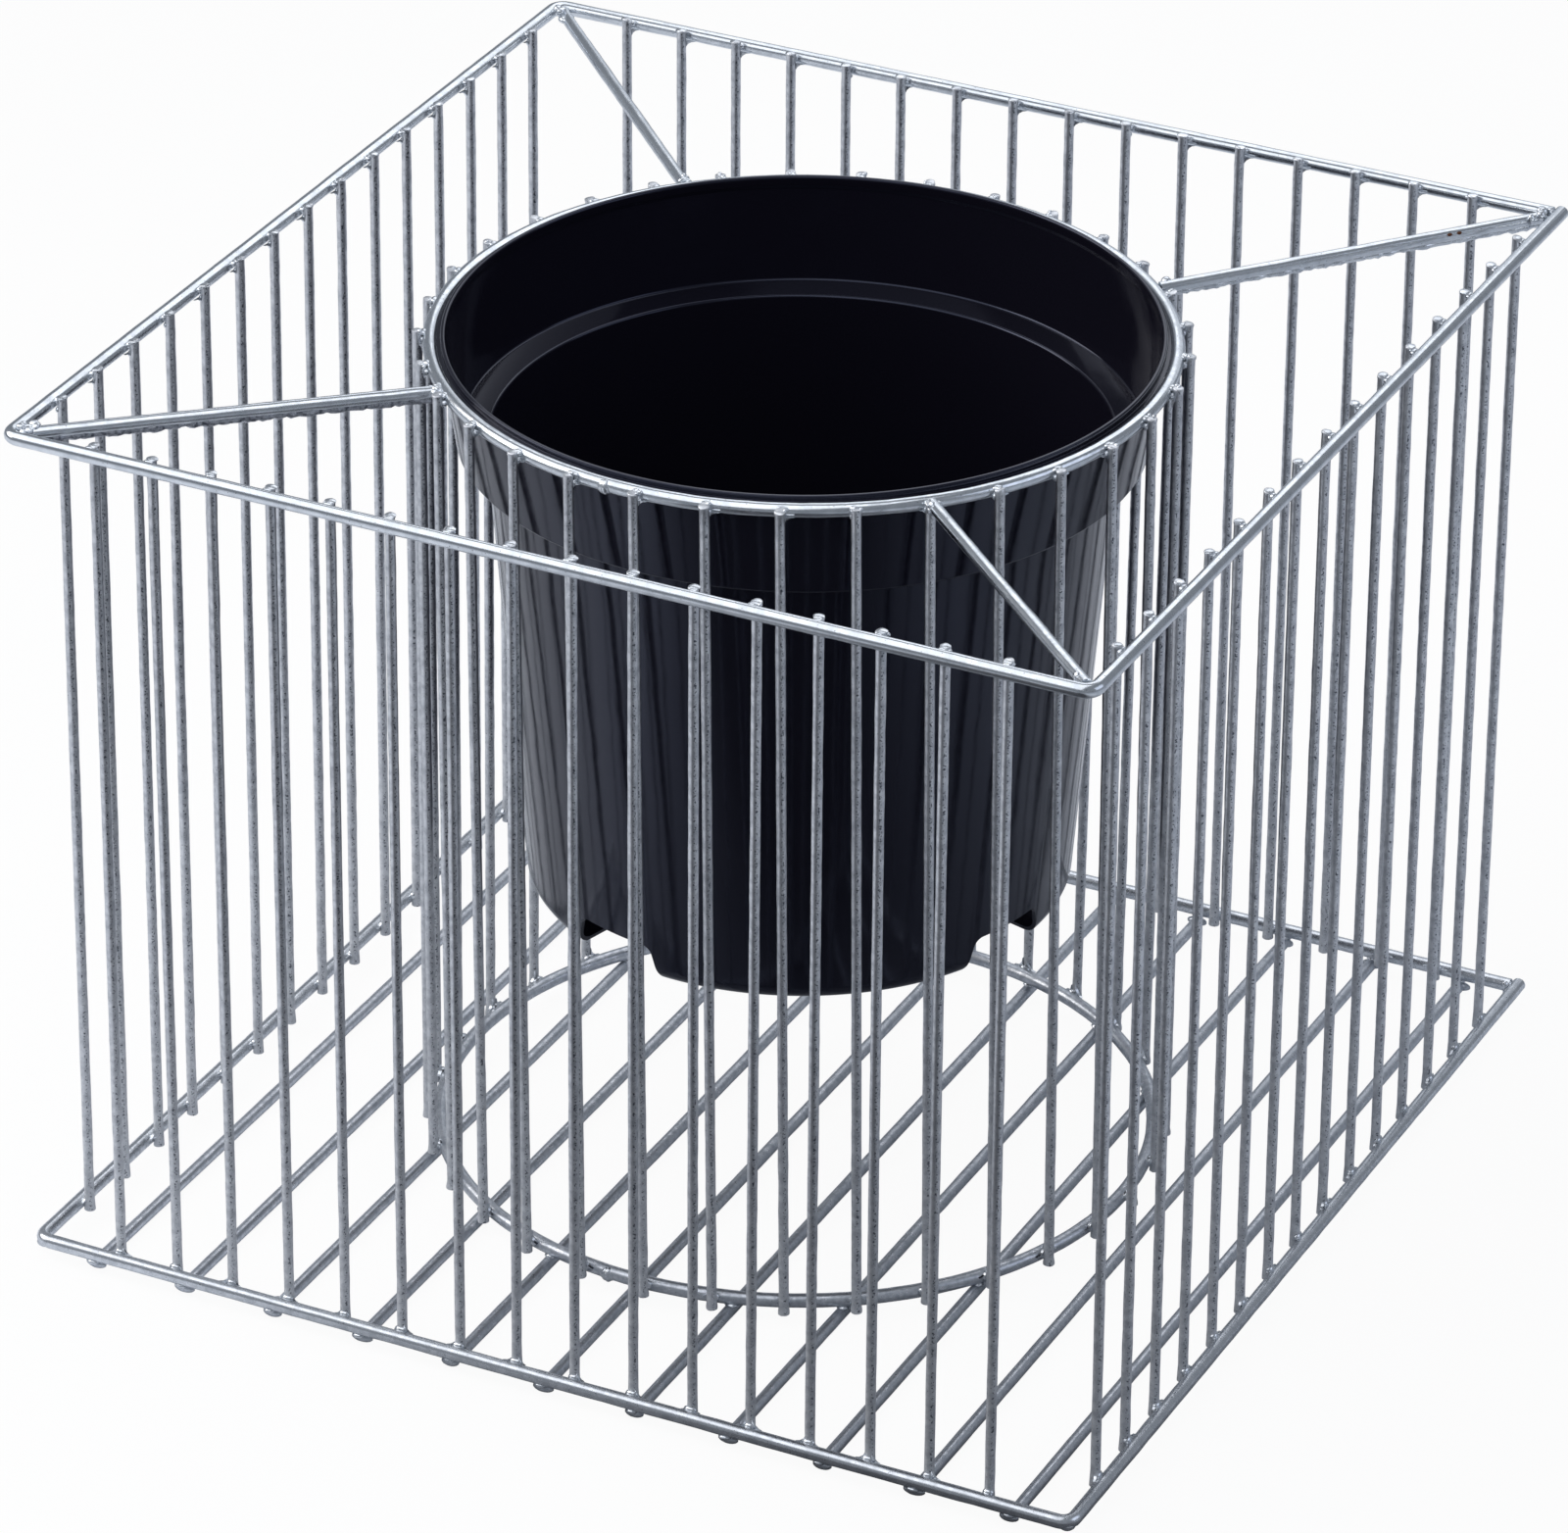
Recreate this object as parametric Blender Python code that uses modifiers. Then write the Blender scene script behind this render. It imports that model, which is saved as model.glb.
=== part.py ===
"""Gabion planter: a welded wire cage for stones, with a pot hung in its middle.

A square cage of galvanised wire stands round a cylinder of the same wire. Stones fill the
space between them. The cylinder's top ring carries a black plastic pot by its rim, and four
spokes hold that ring to the corners of the cage.

Units are metres, +Z is up, and the origin is on the floor under the middle of the cage.
The front is towards -Y.
"""

import math

import bmesh
import bpy
from mathutils import Matrix, Vector

# Square cage
WIDTH = 0.400                      # outside width of both square frames, both ways
HEIGHT = 0.322                     # floor to the top of the top frame
FRAME_WIRE = 0.005                 # wire diameter of both square frames
FRAME_BEND = 0.0045                # bend radius of a corner, at the wire's middle
UPRIGHT_WIRE = 0.0035              # wire diameter of the outer and inner uprights
FRONT_UPRIGHTS = 16                # outer uprights on the front, and on the back
SIDE_UPRIGHTS = 15                 # outer uprights on each side
FRONT_MARGIN = 0.0335              # cage's outside to the first upright of front and back
SIDE_MARGIN = 0.0312               # cage's outside to the first upright of a side
UPRIGHT_STAND = 0.001              # how far the outer uprights stand above the top frame
WELD_DEPTH = 0.0005                # how deep an upright is sunk in the wire it is welded to
WELD_BUMP = 0.0004                 # how far a butt weld's bead stands out of its wire

# Base under the cage
BASE_WIRE = 0.004                  # wire diameter of the base wires
BASE_WIRES = 11
BASE_MARGIN = 0.0245               # cage's outside to the middle of the first base wire

# Wire cylinder that holds the pot
RING_INSIDE = 0.250                # inside diameter of both rings
RING_WIRE = 0.005                  # wire diameter of both rings
RING_DROP = 0.0065                 # top ring's middle below the top frame's middle
INNER_UPRIGHTS = 33
INNER_START = math.radians(-45.5)  # angle of the first inner upright, at its top
INNER_TWIST = math.radians(1.5)    # turn of the bottom ring's end of each inner upright
INNER_TOP = 0.0008                 # inner uprights' tops below the top ring's top
RING_WELD_BAY = 28                 # gap between inner uprights that holds a ring's butt weld
SPOKE_WIRE = 0.0045                # wire diameter of the spokes

# Pot
POT_HEIGHT = 0.210                 # foot to the rim's crest
WALL = 0.0015
RIM_OVERHANG = 0.0006              # how far the rim reaches over the ring's inner side
RIM_WIDTH = 0.004                  # across the rolled rim
RIM_DEPTH = 0.0023                 # crest of the rim to its seat on the ring
COLLAR_CLEARANCE = 0.0007          # collar's top inside the ring
COLLAR_DEPTH = 0.0395              # crest to the collar's lower edge
COLLAR_TAPER = 0.0053              # how much the collar's radius falls over its depth
LEDGE_WIDTH = 0.0102               # step inwards under the collar
LEDGE_FALL = 0.001                 # how far the step runs down as it goes inwards
BODY_DRAFT = math.radians(4.5)     # taper of the wall under the collar
FOOT_ROUND = 0.0065                # round where the wall meets the foot's bottom
FOOT_WIDTH = 0.0155                # width of the hollow foot, from its outside inwards
FOOT_HEIGHT = 0.0145               # foot's bottom to the underside of the raised floor
NOTCHES = 4                        # notches through the foot, which also drain the pot
NOTCH_START = math.radians(74.5)   # angle of the middle of the first notch
NOTCH_WIDTH = 0.038                # width of a notch at the foot's bottom
NOTCH_TOP = 0.031                  # width of a notch at its top
NOTCH_HEIGHT = 0.0135

# Fits and fineness
GAP = 0.0003                       # space between pieces that touch
SEGMENTS = 64                      # facets round the pot and round the rings
WIRE_SIDES = 8                     # facets round a wire
BEND_STEPS = 4                     # facets along a corner bend of a frame
FILLET_STEPS = 3                   # facets along a fillet of the pot
CAP_MERGE = 1e-6                   # distance at which a wire's caps join its sides
CUT_MARGIN = 0.001                 # how far a cut reaches past what it goes through

# Places that follow from the sizes
FRAME_HALF = WIDTH / 2 - FRAME_WIRE / 2
FRAME_INSIDE = WIDTH / 2 - FRAME_WIRE
BOTTOM_FRAME_Z = BASE_WIRE + GAP + FRAME_WIRE / 2
TOP_FRAME_Z = HEIGHT - FRAME_WIRE / 2
RING_RADIUS = RING_INSIDE / 2 + RING_WIRE / 2
TOP_RING_Z = TOP_FRAME_Z - RING_DROP
BOTTOM_RING_Z = BASE_WIRE + GAP + RING_WIRE / 2
INNER_RADIUS = RING_RADIUS + RING_WIRE / 2 + GAP + UPRIGHT_WIRE / 2
INNER_PITCH = math.tau / INNER_UPRIGHTS
UPRIGHT_FOOT_Z = BASE_WIRE + GAP
RIM_RADIUS = RING_INSIDE / 2 + RIM_OVERHANG
RIM_REACH = RING_RADIUS - RIM_RADIUS
SEAT_Z = TOP_RING_Z + math.sqrt((RING_WIRE / 2) ** 2 - RIM_REACH ** 2) + GAP
POT_Z = SEAT_Z + RIM_DEPTH - POT_HEIGHT
SPLIT = FRAME_HALF - FRAME_BEND - FRAME_WIRE / 4

# Sides of the cage: degrees turned from the front, number of uprights, and their margin
SIDES = {
    "front": (0, FRONT_UPRIGHTS, FRONT_MARGIN),
    "right": (90, SIDE_UPRIGHTS, SIDE_MARGIN),
    "back": (180, FRONT_UPRIGHTS, FRONT_MARGIN),
    "left": (270, SIDE_UPRIGHTS, SIDE_MARGIN),
}

ZINC = (0.46, 0.49, 0.53)
BLACK = (0.006, 0.006, 0.008)


def clear_scene():
    """Remove every object that the file opened with."""
    for found in list(bpy.data.objects):
        bpy.data.objects.remove(found, do_unlink=True)


def new_collection(name):
    """Return a new collection that hangs in the scene."""
    collection = bpy.data.collections.new(name)
    bpy.context.scene.collection.children.link(collection)
    return collection


def new_material(name, colour, metallic, roughness):
    """Return a plain Principled material."""
    material = bpy.data.materials.new(name)
    material.use_nodes = True
    shader = material.node_tree.nodes["Principled BSDF"]
    shader.inputs["Base Color"].default_value = (*colour, 1.0)
    shader.inputs["Metallic"].default_value = metallic
    shader.inputs["Roughness"].default_value = roughness
    return material


def filleted(corners, radii, steps):
    """Return a path through the corners, each rounded by an arc of its own radius."""
    path = [Vector(corners[0])]
    for before, corner, after, radius in zip(corners, corners[1:], corners[2:], radii[1:]):
        back = (Vector(before) - Vector(corner)).normalized()
        ahead = (Vector(after) - Vector(corner)).normalized()
        half_angle = back.angle(ahead) / 2
        if radius <= 0:
            path.append(Vector(corner))
            continue
        centre = Vector(corner) + (back + ahead).normalized() * radius / math.sin(half_angle)
        reach = radius / math.tan(half_angle)
        spoke = Vector(corner) + back * reach - centre
        turn = spoke.cross(Vector(corner) + ahead * reach - centre).normalized()
        sweep = math.pi - 2 * half_angle
        for step in range(steps + 1):
            path.append(centre + Matrix.Rotation(sweep * step / steps, 3, turn) @ spoke)
    path.append(Vector(corners[-1]))
    return path


def wire_curve(name, runs, diameter, tilt=0.0):
    """Return a curve of round wire with one capped length for each run of points."""
    curve = bpy.data.curves.new(name, "CURVE")
    curve.dimensions = "3D"
    curve.bevel_depth = diameter / 2
    curve.bevel_resolution = (WIRE_SIDES - 4) // 2
    curve.use_fill_caps = True
    for run in runs:
        spline = curve.splines.new("POLY")
        spline.points.add(len(run) - 1)
        for point, place in zip(spline.points, run):
            point.co = (*place, 1.0)
            point.tilt = tilt
    return curve


def place(name, data, collection, material, location=(0, 0, 0), angle=0.0):
    """Put a curve or mesh in the scene as one named piece, turned about +Z."""
    piece = bpy.data.objects.new(name, data)
    piece.location = location
    piece.rotation_euler = (0, 0, angle)
    collection.objects.link(piece)
    if material.name not in data.materials:
        data.materials.append(material)
    return piece


def smooth(mesh):
    """Shade a mesh smooth across its shallow edges."""
    mesh.shade_smooth()
    mesh.set_sharp_from_angle(angle=math.radians(50))


def to_mesh(curve_piece, collection):
    """Replace a wire by its own mesh, with its caps welded to its sides."""
    bpy.context.view_layer.update()
    solved = curve_piece.evaluated_get(bpy.context.evaluated_depsgraph_get())
    mesh = bpy.data.meshes.new_from_object(solved)
    shape = bmesh.new()
    shape.from_mesh(mesh)
    bmesh.ops.remove_doubles(shape, verts=shape.verts, dist=CAP_MERGE)
    shape.to_mesh(mesh)
    shape.free()
    smooth(mesh)
    name = curve_piece.name
    matrix = curve_piece.matrix_world.copy()
    bpy.data.objects.remove(curve_piece, do_unlink=True)
    piece = bpy.data.objects.new(name, mesh)
    piece.matrix_world = matrix
    collection.objects.link(piece)
    return piece


def hide_tool(tool):
    """Mark a piece as a tool that shapes others and is no part of the planter."""
    tool.hide_render = True
    tool.display_type = "WIRE"


def combine(piece, tool, operation):
    """Join a tool to a piece, or cut it away."""
    modifier = piece.modifiers.new(tool.name, "BOOLEAN")
    modifier.operation = operation
    modifier.object = tool


def weld_bead(name, centre, sizes, angle, tools, material):
    """Return the rounded bead of a butt weld, as a tool to be joined to its wire."""
    mesh = bpy.data.meshes.new(name)
    shape = bmesh.new()
    bmesh.ops.create_uvsphere(shape, u_segments=12, v_segments=8, radius=1.0)
    bmesh.ops.scale(shape, verts=shape.verts, vec=sizes)
    shape.to_mesh(mesh)
    shape.free()
    bead = place(name, mesh, tools, material, centre, angle)
    hide_tool(bead)
    return bead


def square_frame(name, height, parts, tools, material):
    """Make the square top frame of one bent wire, butt-welded at the back right corner.

    The wire of the right side runs through to the back. The wire of the back side ends
    against its inner face, and a bead joins the two.
    """
    butt = FRAME_INSIDE - GAP
    corners = [
        (butt, FRAME_HALF, 0),
        (-FRAME_HALF, FRAME_HALF, 0),
        (-FRAME_HALF, -FRAME_HALF, 0),
        (FRAME_HALF, -FRAME_HALF, 0),
        (FRAME_HALF, WIDTH / 2, 0),
    ]
    path = filleted(corners, [0, FRAME_BEND, FRAME_BEND, FRAME_BEND, 0], BEND_STEPS)
    curve = wire_curve(name, [path], FRAME_WIRE)
    frame = to_mesh(place(name, curve, parts, material, (0, 0, height)), parts)
    radius = FRAME_WIRE / 2 + WELD_BUMP
    centre = (FRAME_INSIDE, FRAME_HALF - WELD_BUMP, height)
    bead = weld_bead(f"{name}_bead", centre, (radius,) * 3, 0, tools, material)
    combine(frame, bead, "UNION")
    return frame


def spread(count, margin):
    """Return the places of evenly spaced wires across the cage."""
    reach = WIDTH / 2 - margin
    return [-reach + 2 * reach * step / (count - 1) for step in range(count)]


def side_wire(side):
    """Return the bottom frame's wire along one side, laid out as if that were the front.

    It starts past one corner and bends round the next. At the back right corner the wire
    of the right side runs through, and that of the back ends against its inner face.
    """
    start = WIDTH / 2 if side == "right" else SPLIT - GAP
    if side == "back":
        return [(start, -FRAME_HALF, 0), (GAP - FRAME_INSIDE, -FRAME_HALF, 0)]
    corners = [(start, -FRAME_HALF, 0), (-FRAME_HALF, -FRAME_HALF, 0), (-FRAME_HALF, -SPLIT, 0)]
    return filleted(corners, [0, FRAME_BEND, 0], BEND_STEPS)


def grille(side, parts, tools, material):
    """Make one side of the cage: its uprights, welded to the bottom frame's wire.

    Each upright is sunk a little in that wire and stands clear of the top frame, so it
    leans inwards by the sum of the two.
    """
    degrees, count, margin = SIDES[side]
    foot = FRAME_INSIDE - UPRIGHT_WIRE / 2 + WELD_DEPTH
    head = FRAME_INSIDE - UPRIGHT_WIRE / 2 - GAP
    low = UPRIGHT_FOOT_Z - BOTTOM_FRAME_Z
    high = HEIGHT + UPRIGHT_STAND - BOTTOM_FRAME_Z
    lean = (head - foot) / (TOP_FRAME_Z - BOTTOM_FRAME_Z)
    runs = [
        [(across, -foot - lean * low, low), (across, -foot - lean * high, high)]
        for across in spread(count, margin)
    ]
    name = f"grille_{side}"
    middle = (0, 0, BOTTOM_FRAME_Z)
    angle = math.radians(degrees)
    curve = wire_curve(f"{name}_uprights", runs, UPRIGHT_WIRE)
    loose = place(f"{name}_uprights", curve, tools, material, middle, angle)
    uprights = to_mesh(loose, tools)
    hide_tool(uprights)
    wire = wire_curve(name, [side_wire(side)], FRAME_WIRE)
    made = to_mesh(place(name, wire, parts, material, middle, angle), parts)
    combine(made, uprights, "UNION")
    if side == "back":
        radius = FRAME_WIRE / 2 + WELD_BUMP
        butt = FRAME_INSIDE - GAP - FRAME_WIRE / 4
        centre = (butt, FRAME_HALF - WELD_BUMP, BOTTOM_FRAME_Z)
        sizes = (FRAME_WIRE / 4, radius, radius)
        combine(made, weld_bead(f"{name}_bead", centre, sizes, 0, tools, material), "UNION")


def base_wires(parts, material):
    """Lay the base wires from front to back, each with a flat facet on the floor."""
    flat_radius = BASE_WIRE / 2 / math.cos(math.pi / WIRE_SIDES)
    run = [(0, -WIDTH / 2, 0), (0, WIDTH / 2, 0)]
    curve = wire_curve("base_wire", [run], 2 * flat_radius, tilt=math.pi / WIRE_SIDES)
    for number, across in enumerate(spread(BASE_WIRES, BASE_MARGIN), 1):
        place(f"base_wire_{number:02d}", curve, parts, material, (across, 0, BASE_WIRE / 2))


def ring(name, height, parts, tools, material):
    """Make a round ring whose butt weld lies midway between two inner uprights."""
    bpy.ops.mesh.primitive_torus_add(
        location=(0, 0, height),
        major_radius=RING_RADIUS,
        minor_radius=RING_WIRE / 2,
        major_segments=SEGMENTS,
        minor_segments=WIRE_SIDES,
    )
    made = bpy.context.active_object
    made.name = name
    made.data.name = name
    for holder in list(made.users_collection):
        holder.objects.unlink(made)
    parts.objects.link(made)
    made.data.materials.append(material)
    smooth(made.data)
    angle = INNER_START + (RING_WELD_BAY + 0.5) * INNER_PITCH
    centre = Matrix.Rotation(angle, 3, "Z") @ Vector((RING_RADIUS + WELD_BUMP, 0, height))
    radius = RING_WIRE / 2 + WELD_BUMP
    sizes = (radius, radius + RING_WIRE / 4, RING_WIRE / 2 + GAP / 2)
    combine(made, weld_bead(f"{name}_bead", centre, sizes, angle, tools, material), "UNION")


def inner_uprights(parts, material):
    """Stand the inner uprights round the outside of both rings, each with a slight lean."""
    low = UPRIGHT_FOOT_Z
    high = TOP_RING_Z + RING_WIRE / 2 - INNER_TOP
    foot = Matrix.Rotation(INNER_TWIST, 3, "Z") @ Vector((INNER_RADIUS, 0, low))
    run = [foot - Vector((INNER_RADIUS, 0, 0)), (0, 0, high)]
    curve = wire_curve("inner_upright", [run], UPRIGHT_WIRE)
    for number in range(INNER_UPRIGHTS):
        angle = INNER_START + number * INNER_PITCH
        location = (INNER_RADIUS * math.cos(angle), INNER_RADIUS * math.sin(angle), 0)
        name = f"inner_upright_{number + 1:02d}"
        place(name, curve, parts, material, location, angle)


def spoke_inner_end(angle, slope):
    """Return how far from the axis a spoke starts, clear of the ring and the uprights."""
    radius = SPOKE_WIRE / 2
    reach = UPRIGHT_WIRE / 2 + GAP
    start = RING_RADIUS + RING_WIRE / 2 + GAP
    for number in range(INNER_UPRIGHTS):
        offset = INNER_START + number * INNER_PITCH - angle
        along = INNER_RADIUS * math.cos(offset)
        aside = abs(INNER_RADIUS * math.sin(offset))
        beyond = max(aside - radius, 0)
        if along > 0 and beyond < reach:
            start = max(start, along + math.sqrt(reach ** 2 - beyond ** 2) + radius * slope)
    return start


def spoke_outer_end():
    """Return how far from the axis a spoke ends, clear of the frame's bent corner."""
    radius = SPOKE_WIRE / 2
    bend_clear = FRAME_BEND - FRAME_WIRE / 2 - GAP
    if radius < bend_clear / math.sqrt(2):
        return math.sqrt(2) * (FRAME_HALF - FRAME_BEND) + math.sqrt(bend_clear ** 2 - radius ** 2)
    return math.sqrt(2) * (FRAME_INSIDE - GAP) - radius


def spokes(parts, material):
    """Lay the four spokes from the top frame's corners down to the top ring."""
    sides = {"front_left": -135, "front_right": -45, "back_right": 45, "back_left": 135}
    low = TOP_RING_Z + RING_WIRE / 2 - SPOKE_WIRE / 2
    end = spoke_outer_end()
    slope = (TOP_FRAME_Z - low) / (end - RING_RADIUS)
    for side, degrees in sides.items():
        angle = math.radians(degrees)
        start = spoke_inner_end(angle, slope)
        curve = wire_curve(f"spoke_{side}", [[(start, 0, low), (end, 0, TOP_FRAME_Z)]], SPOKE_WIRE)
        place(f"spoke_{side}", curve, parts, material, angle=angle)


def body_radius(height):
    """Return the outer radius of the pot's wall at a height above its foot."""
    top = POT_HEIGHT - COLLAR_DEPTH - LEDGE_FALL
    ledge_inside = RING_INSIDE / 2 - COLLAR_CLEARANCE - COLLAR_TAPER - LEDGE_WIDTH
    return ledge_inside - (top - height) * math.tan(BODY_DRAFT)


def pot_profile():
    """Return the pot's section, from the floor's middle over the rim to the underside."""
    collar_top = RING_INSIDE / 2 - COLLAR_CLEARANCE
    collar_low = collar_top - COLLAR_TAPER
    seat = POT_HEIGHT - RIM_DEPTH
    lip_inside = RIM_RADIUS - RIM_WIDTH
    edge = POT_HEIGHT - COLLAR_DEPTH
    ledge = collar_low - LEDGE_WIDTH
    floor = FOOT_HEIGHT + WALL
    slant = WALL / math.cos(BODY_DRAFT)
    lip_round = RIM_DEPTH * 0.45
    foot_inside = body_radius(0) - FOOT_WIDTH
    section = [
        (0, floor, 0),
        (foot_inside + WALL, floor, WALL),
        (foot_inside + WALL, WALL, WALL),
        (body_radius(WALL) - slant, WALL, FOOT_ROUND - WALL),
        (ledge - slant, edge - LEDGE_FALL + WALL, WALL),
        (collar_low - WALL, edge + WALL, 2 * WALL),
        (collar_top - WALL, seat - WALL, 0),
        (lip_inside, seat, 0),
        (lip_inside, POT_HEIGHT, lip_round),
        (RIM_RADIUS, POT_HEIGHT, lip_round),
        (RIM_RADIUS, seat, 0),
        (collar_top, seat, 0),
        (collar_low, edge, WALL),
        (ledge, edge - LEDGE_FALL, WALL),
        (body_radius(0), 0, FOOT_ROUND),
        (foot_inside, 0, 0),
        (foot_inside, FOOT_HEIGHT, 0),
        (0, FOOT_HEIGHT, 0),
    ]
    corners = [(radius, 0, height) for radius, height, _ in section]
    return filleted(corners, [fillet for _, _, fillet in section], FILLET_STEPS)


def foot_cutter(tools, material):
    """Make the tool that cuts the notches right through the hollow foot."""
    mesh = bpy.data.meshes.new("foot_cutter")
    shape = bmesh.new()
    inner = body_radius(0) - FOOT_WIDTH - CUT_MARGIN
    outer = body_radius(NOTCH_HEIGHT) + CUT_MARGIN
    for number in range(NOTCHES):
        turn = Matrix.Rotation(NOTCH_START + number * math.tau / NOTCHES, 4, "Z")
        block = bmesh.ops.create_cube(shape, size=1)["verts"]
        for corner in block:
            width = NOTCH_TOP
            if corner.co.z < 0:
                width = NOTCH_WIDTH + (NOTCH_WIDTH - NOTCH_TOP)
            corner.co.x = (inner + outer) / 2 + corner.co.x * (outer - inner)
            corner.co.y = corner.co.y * width
            corner.co.z = corner.co.z * 2 * NOTCH_HEIGHT
        bmesh.ops.transform(shape, matrix=turn, verts=block)
    shape.to_mesh(mesh)
    shape.free()
    cutter = place("foot_cutter", mesh, tools, material, (0, 0, POT_Z))
    hide_tool(cutter)
    return cutter


def pot(parts, tools, material):
    """Turn the pot from its section and cut the notches in its foot."""
    section = pot_profile()
    mesh = bpy.data.meshes.new("pot")
    shape = bmesh.new()
    points = [shape.verts.new(point) for point in section]
    for first, second in zip(points, points[1:]):
        shape.edges.new((first, second))
    shape.to_mesh(mesh)
    shape.free()
    made = place("pot", mesh, parts, material, (0, 0, POT_Z))
    screw = made.modifiers.new("turn", "SCREW")
    screw.steps = SEGMENTS
    screw.render_steps = SEGMENTS
    screw.use_merge_vertices = True
    screw.merge_threshold = CAP_MERGE
    combine(made, foot_cutter(tools, material), "DIFFERENCE")


def main():
    """Build the whole planter."""
    clear_scene()
    parts = new_collection("gabion_planter")
    tools = new_collection("shaping_tools")
    frame_zinc = new_material("zinc_frame", ZINC, 1.0, 0.35)
    upright_zinc = new_material("zinc_upright", ZINC, 1.0, 0.45)
    spoke_zinc = new_material("zinc_spoke", ZINC, 1.0, 0.35)
    base_zinc = new_material("zinc_base", ZINC, 1.0, 0.45)
    plastic = new_material("black_plastic", BLACK, 0.0, 0.2)
    for side in SIDES:
        grille(side, parts, tools, upright_zinc)
    square_frame("top_frame", TOP_FRAME_Z, parts, tools, frame_zinc)
    ring("top_ring", TOP_RING_Z, parts, tools, frame_zinc)
    ring("bottom_ring", BOTTOM_RING_Z, parts, tools, frame_zinc)
    inner_uprights(parts, upright_zinc)
    spokes(parts, spoke_zinc)
    base_wires(parts, base_zinc)
    pot(parts, tools, plastic)


main()
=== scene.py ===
"""Gabion planter: a galvanised wire cage for stones with a black plastic pot hung in its middle.

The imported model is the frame. Every piece here stands for nodes of it, at their place and
size, in metres, with +Z up and the front towards -Y.
"""

import logging
import math
from collections.abc import Iterable, Sequence
from dataclasses import dataclass, field
from enum import Enum, IntEnum
from random import Random
from typing import Any

import bmesh
import bpy
from mathutils import Matrix, Vector, noise

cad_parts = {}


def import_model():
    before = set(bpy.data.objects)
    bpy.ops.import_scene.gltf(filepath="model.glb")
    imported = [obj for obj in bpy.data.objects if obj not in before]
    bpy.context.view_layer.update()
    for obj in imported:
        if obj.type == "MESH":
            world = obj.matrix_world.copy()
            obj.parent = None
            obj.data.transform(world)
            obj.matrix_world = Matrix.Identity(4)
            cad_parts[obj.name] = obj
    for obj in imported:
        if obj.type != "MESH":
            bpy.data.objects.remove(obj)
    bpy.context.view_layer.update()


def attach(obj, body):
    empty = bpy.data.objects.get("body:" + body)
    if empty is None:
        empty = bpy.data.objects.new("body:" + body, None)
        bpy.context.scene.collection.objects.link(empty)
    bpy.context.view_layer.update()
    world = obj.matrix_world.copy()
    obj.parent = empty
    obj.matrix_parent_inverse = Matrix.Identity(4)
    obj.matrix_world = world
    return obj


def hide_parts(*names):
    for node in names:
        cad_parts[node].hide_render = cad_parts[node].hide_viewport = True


LOG = logging.getLogger("gabion_planter")
MM = 0.001
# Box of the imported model, past which no bead or lump reaches
LOW = (-0.2, -0.2, 0.0)
HIGH = (0.2, 0.2, 0.323)
# Distance between the sections of a wire, and the facets round it
SECTION = 0.006
UPRIGHT_SIDES = 14
FRAME_SIDES = 18
# Edges that bend more than this stay sharp
SHARP_ANGLE = math.radians(55)
# Where a web leaves a wire, as a share of the wire's radius
WEB_START = 0.6
# Depth and size of the lumps in the zinc on each kind of wire
FRAME_COAT = (0.07 * MM, 3.6 * MM)
BOTTOM_COAT = (0.10 * MM, 2.2 * MM)
UPRIGHT_COAT = (0.13 * MM, 1.7 * MM)
SPOKE_COAT = (0.12 * MM, 1.8 * MM)
BASE_COAT = (0.08 * MM, 2.0 * MM)


def srgb(code: str) -> tuple[float, float, float, float]:
    """Turn a hex sRGB colour into linear RGBA.

    Args:
        code: Six hex digits, such as "8b929c".

    Returns:
        The linear colour, with an alpha of 1.
    """
    parts = [int(code[i : i + 2], 16) / 255 for i in (0, 2, 4)]
    red, green, blue = (
        part / 12.92 if part <= 0.04045 else ((part + 0.055) / 1.055) ** 2.4 for part in parts
    )
    return (red, green, blue, 1.0)


def feed(
    tree: bpy.types.NodeTree, node: bpy.types.Node, inputs: dict[int | str, Any]
) -> None:
    """Set or link the inputs of a node.

    Args:
        tree: Node tree that holds the node.
        node: The node.
        inputs: A value or an output socket for each input, by its index or name. Map Range
            takes its value, both ends it comes from and both it goes to as 0 to 4, and Mix
            takes its share as 0 and its colours as 6 and 7.
    """
    for key, value in inputs.items():
        if isinstance(value, bpy.types.NodeSocket):
            tree.links.new(value, node.inputs[key])
        else:
            node.inputs[key].default_value = value


def add_node(
    tree: bpy.types.NodeTree,
    kind: str,
    inputs: dict[int | str, Any],
    out: int | str = 0,
    **settings: Any,
) -> bpy.types.NodeSocket:
    """Add a shader node with its settings, values and links.

    Args:
        tree: Node tree that gets the node.
        kind: Node type, such as "ShaderNodeTexNoise".
        inputs: A value or an output socket for each input, by its index or name.
        out: The output to go on from, by its index or name.
        settings: Properties of the node.

    Returns:
        That output.
    """
    node = tree.nodes.new(kind)
    for name, value in settings.items():
        setattr(node, name, value)
    feed(tree, node, inputs)
    return node.outputs[out]


def new_material(
    name: str,
) -> tuple[bpy.types.Material, bpy.types.NodeTree, bpy.types.Node]:
    """Start a material.

    Args:
        name: Name of the material.

    Returns:
        The material, its node tree and its shader.
    """
    made = bpy.data.materials.new(name)
    made.use_nodes = True
    return made, made.node_tree, made.node_tree.nodes["Principled BSDF"]


def to_mesh(name: str, shape: bmesh.types.BMesh) -> bpy.types.Mesh:
    """Write a shape to a mesh.

    Args:
        name: Name of the mesh.
        shape: The shape, which is freed.

    Returns:
        The mesh.
    """
    data = bpy.data.meshes.new(name)
    shape.to_mesh(data)
    shape.free()
    return data


def link_object(name: str, data: bpy.types.ID) -> bpy.types.Object:
    """Bring a mesh, a light or a camera into the scene.

    Args:
        name: Name of the object.
        data: What the object shows.

    Returns:
        The object, at the origin.
    """
    made = bpy.data.objects.new(name, data)
    bpy.context.scene.collection.objects.link(made)
    return made


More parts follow.
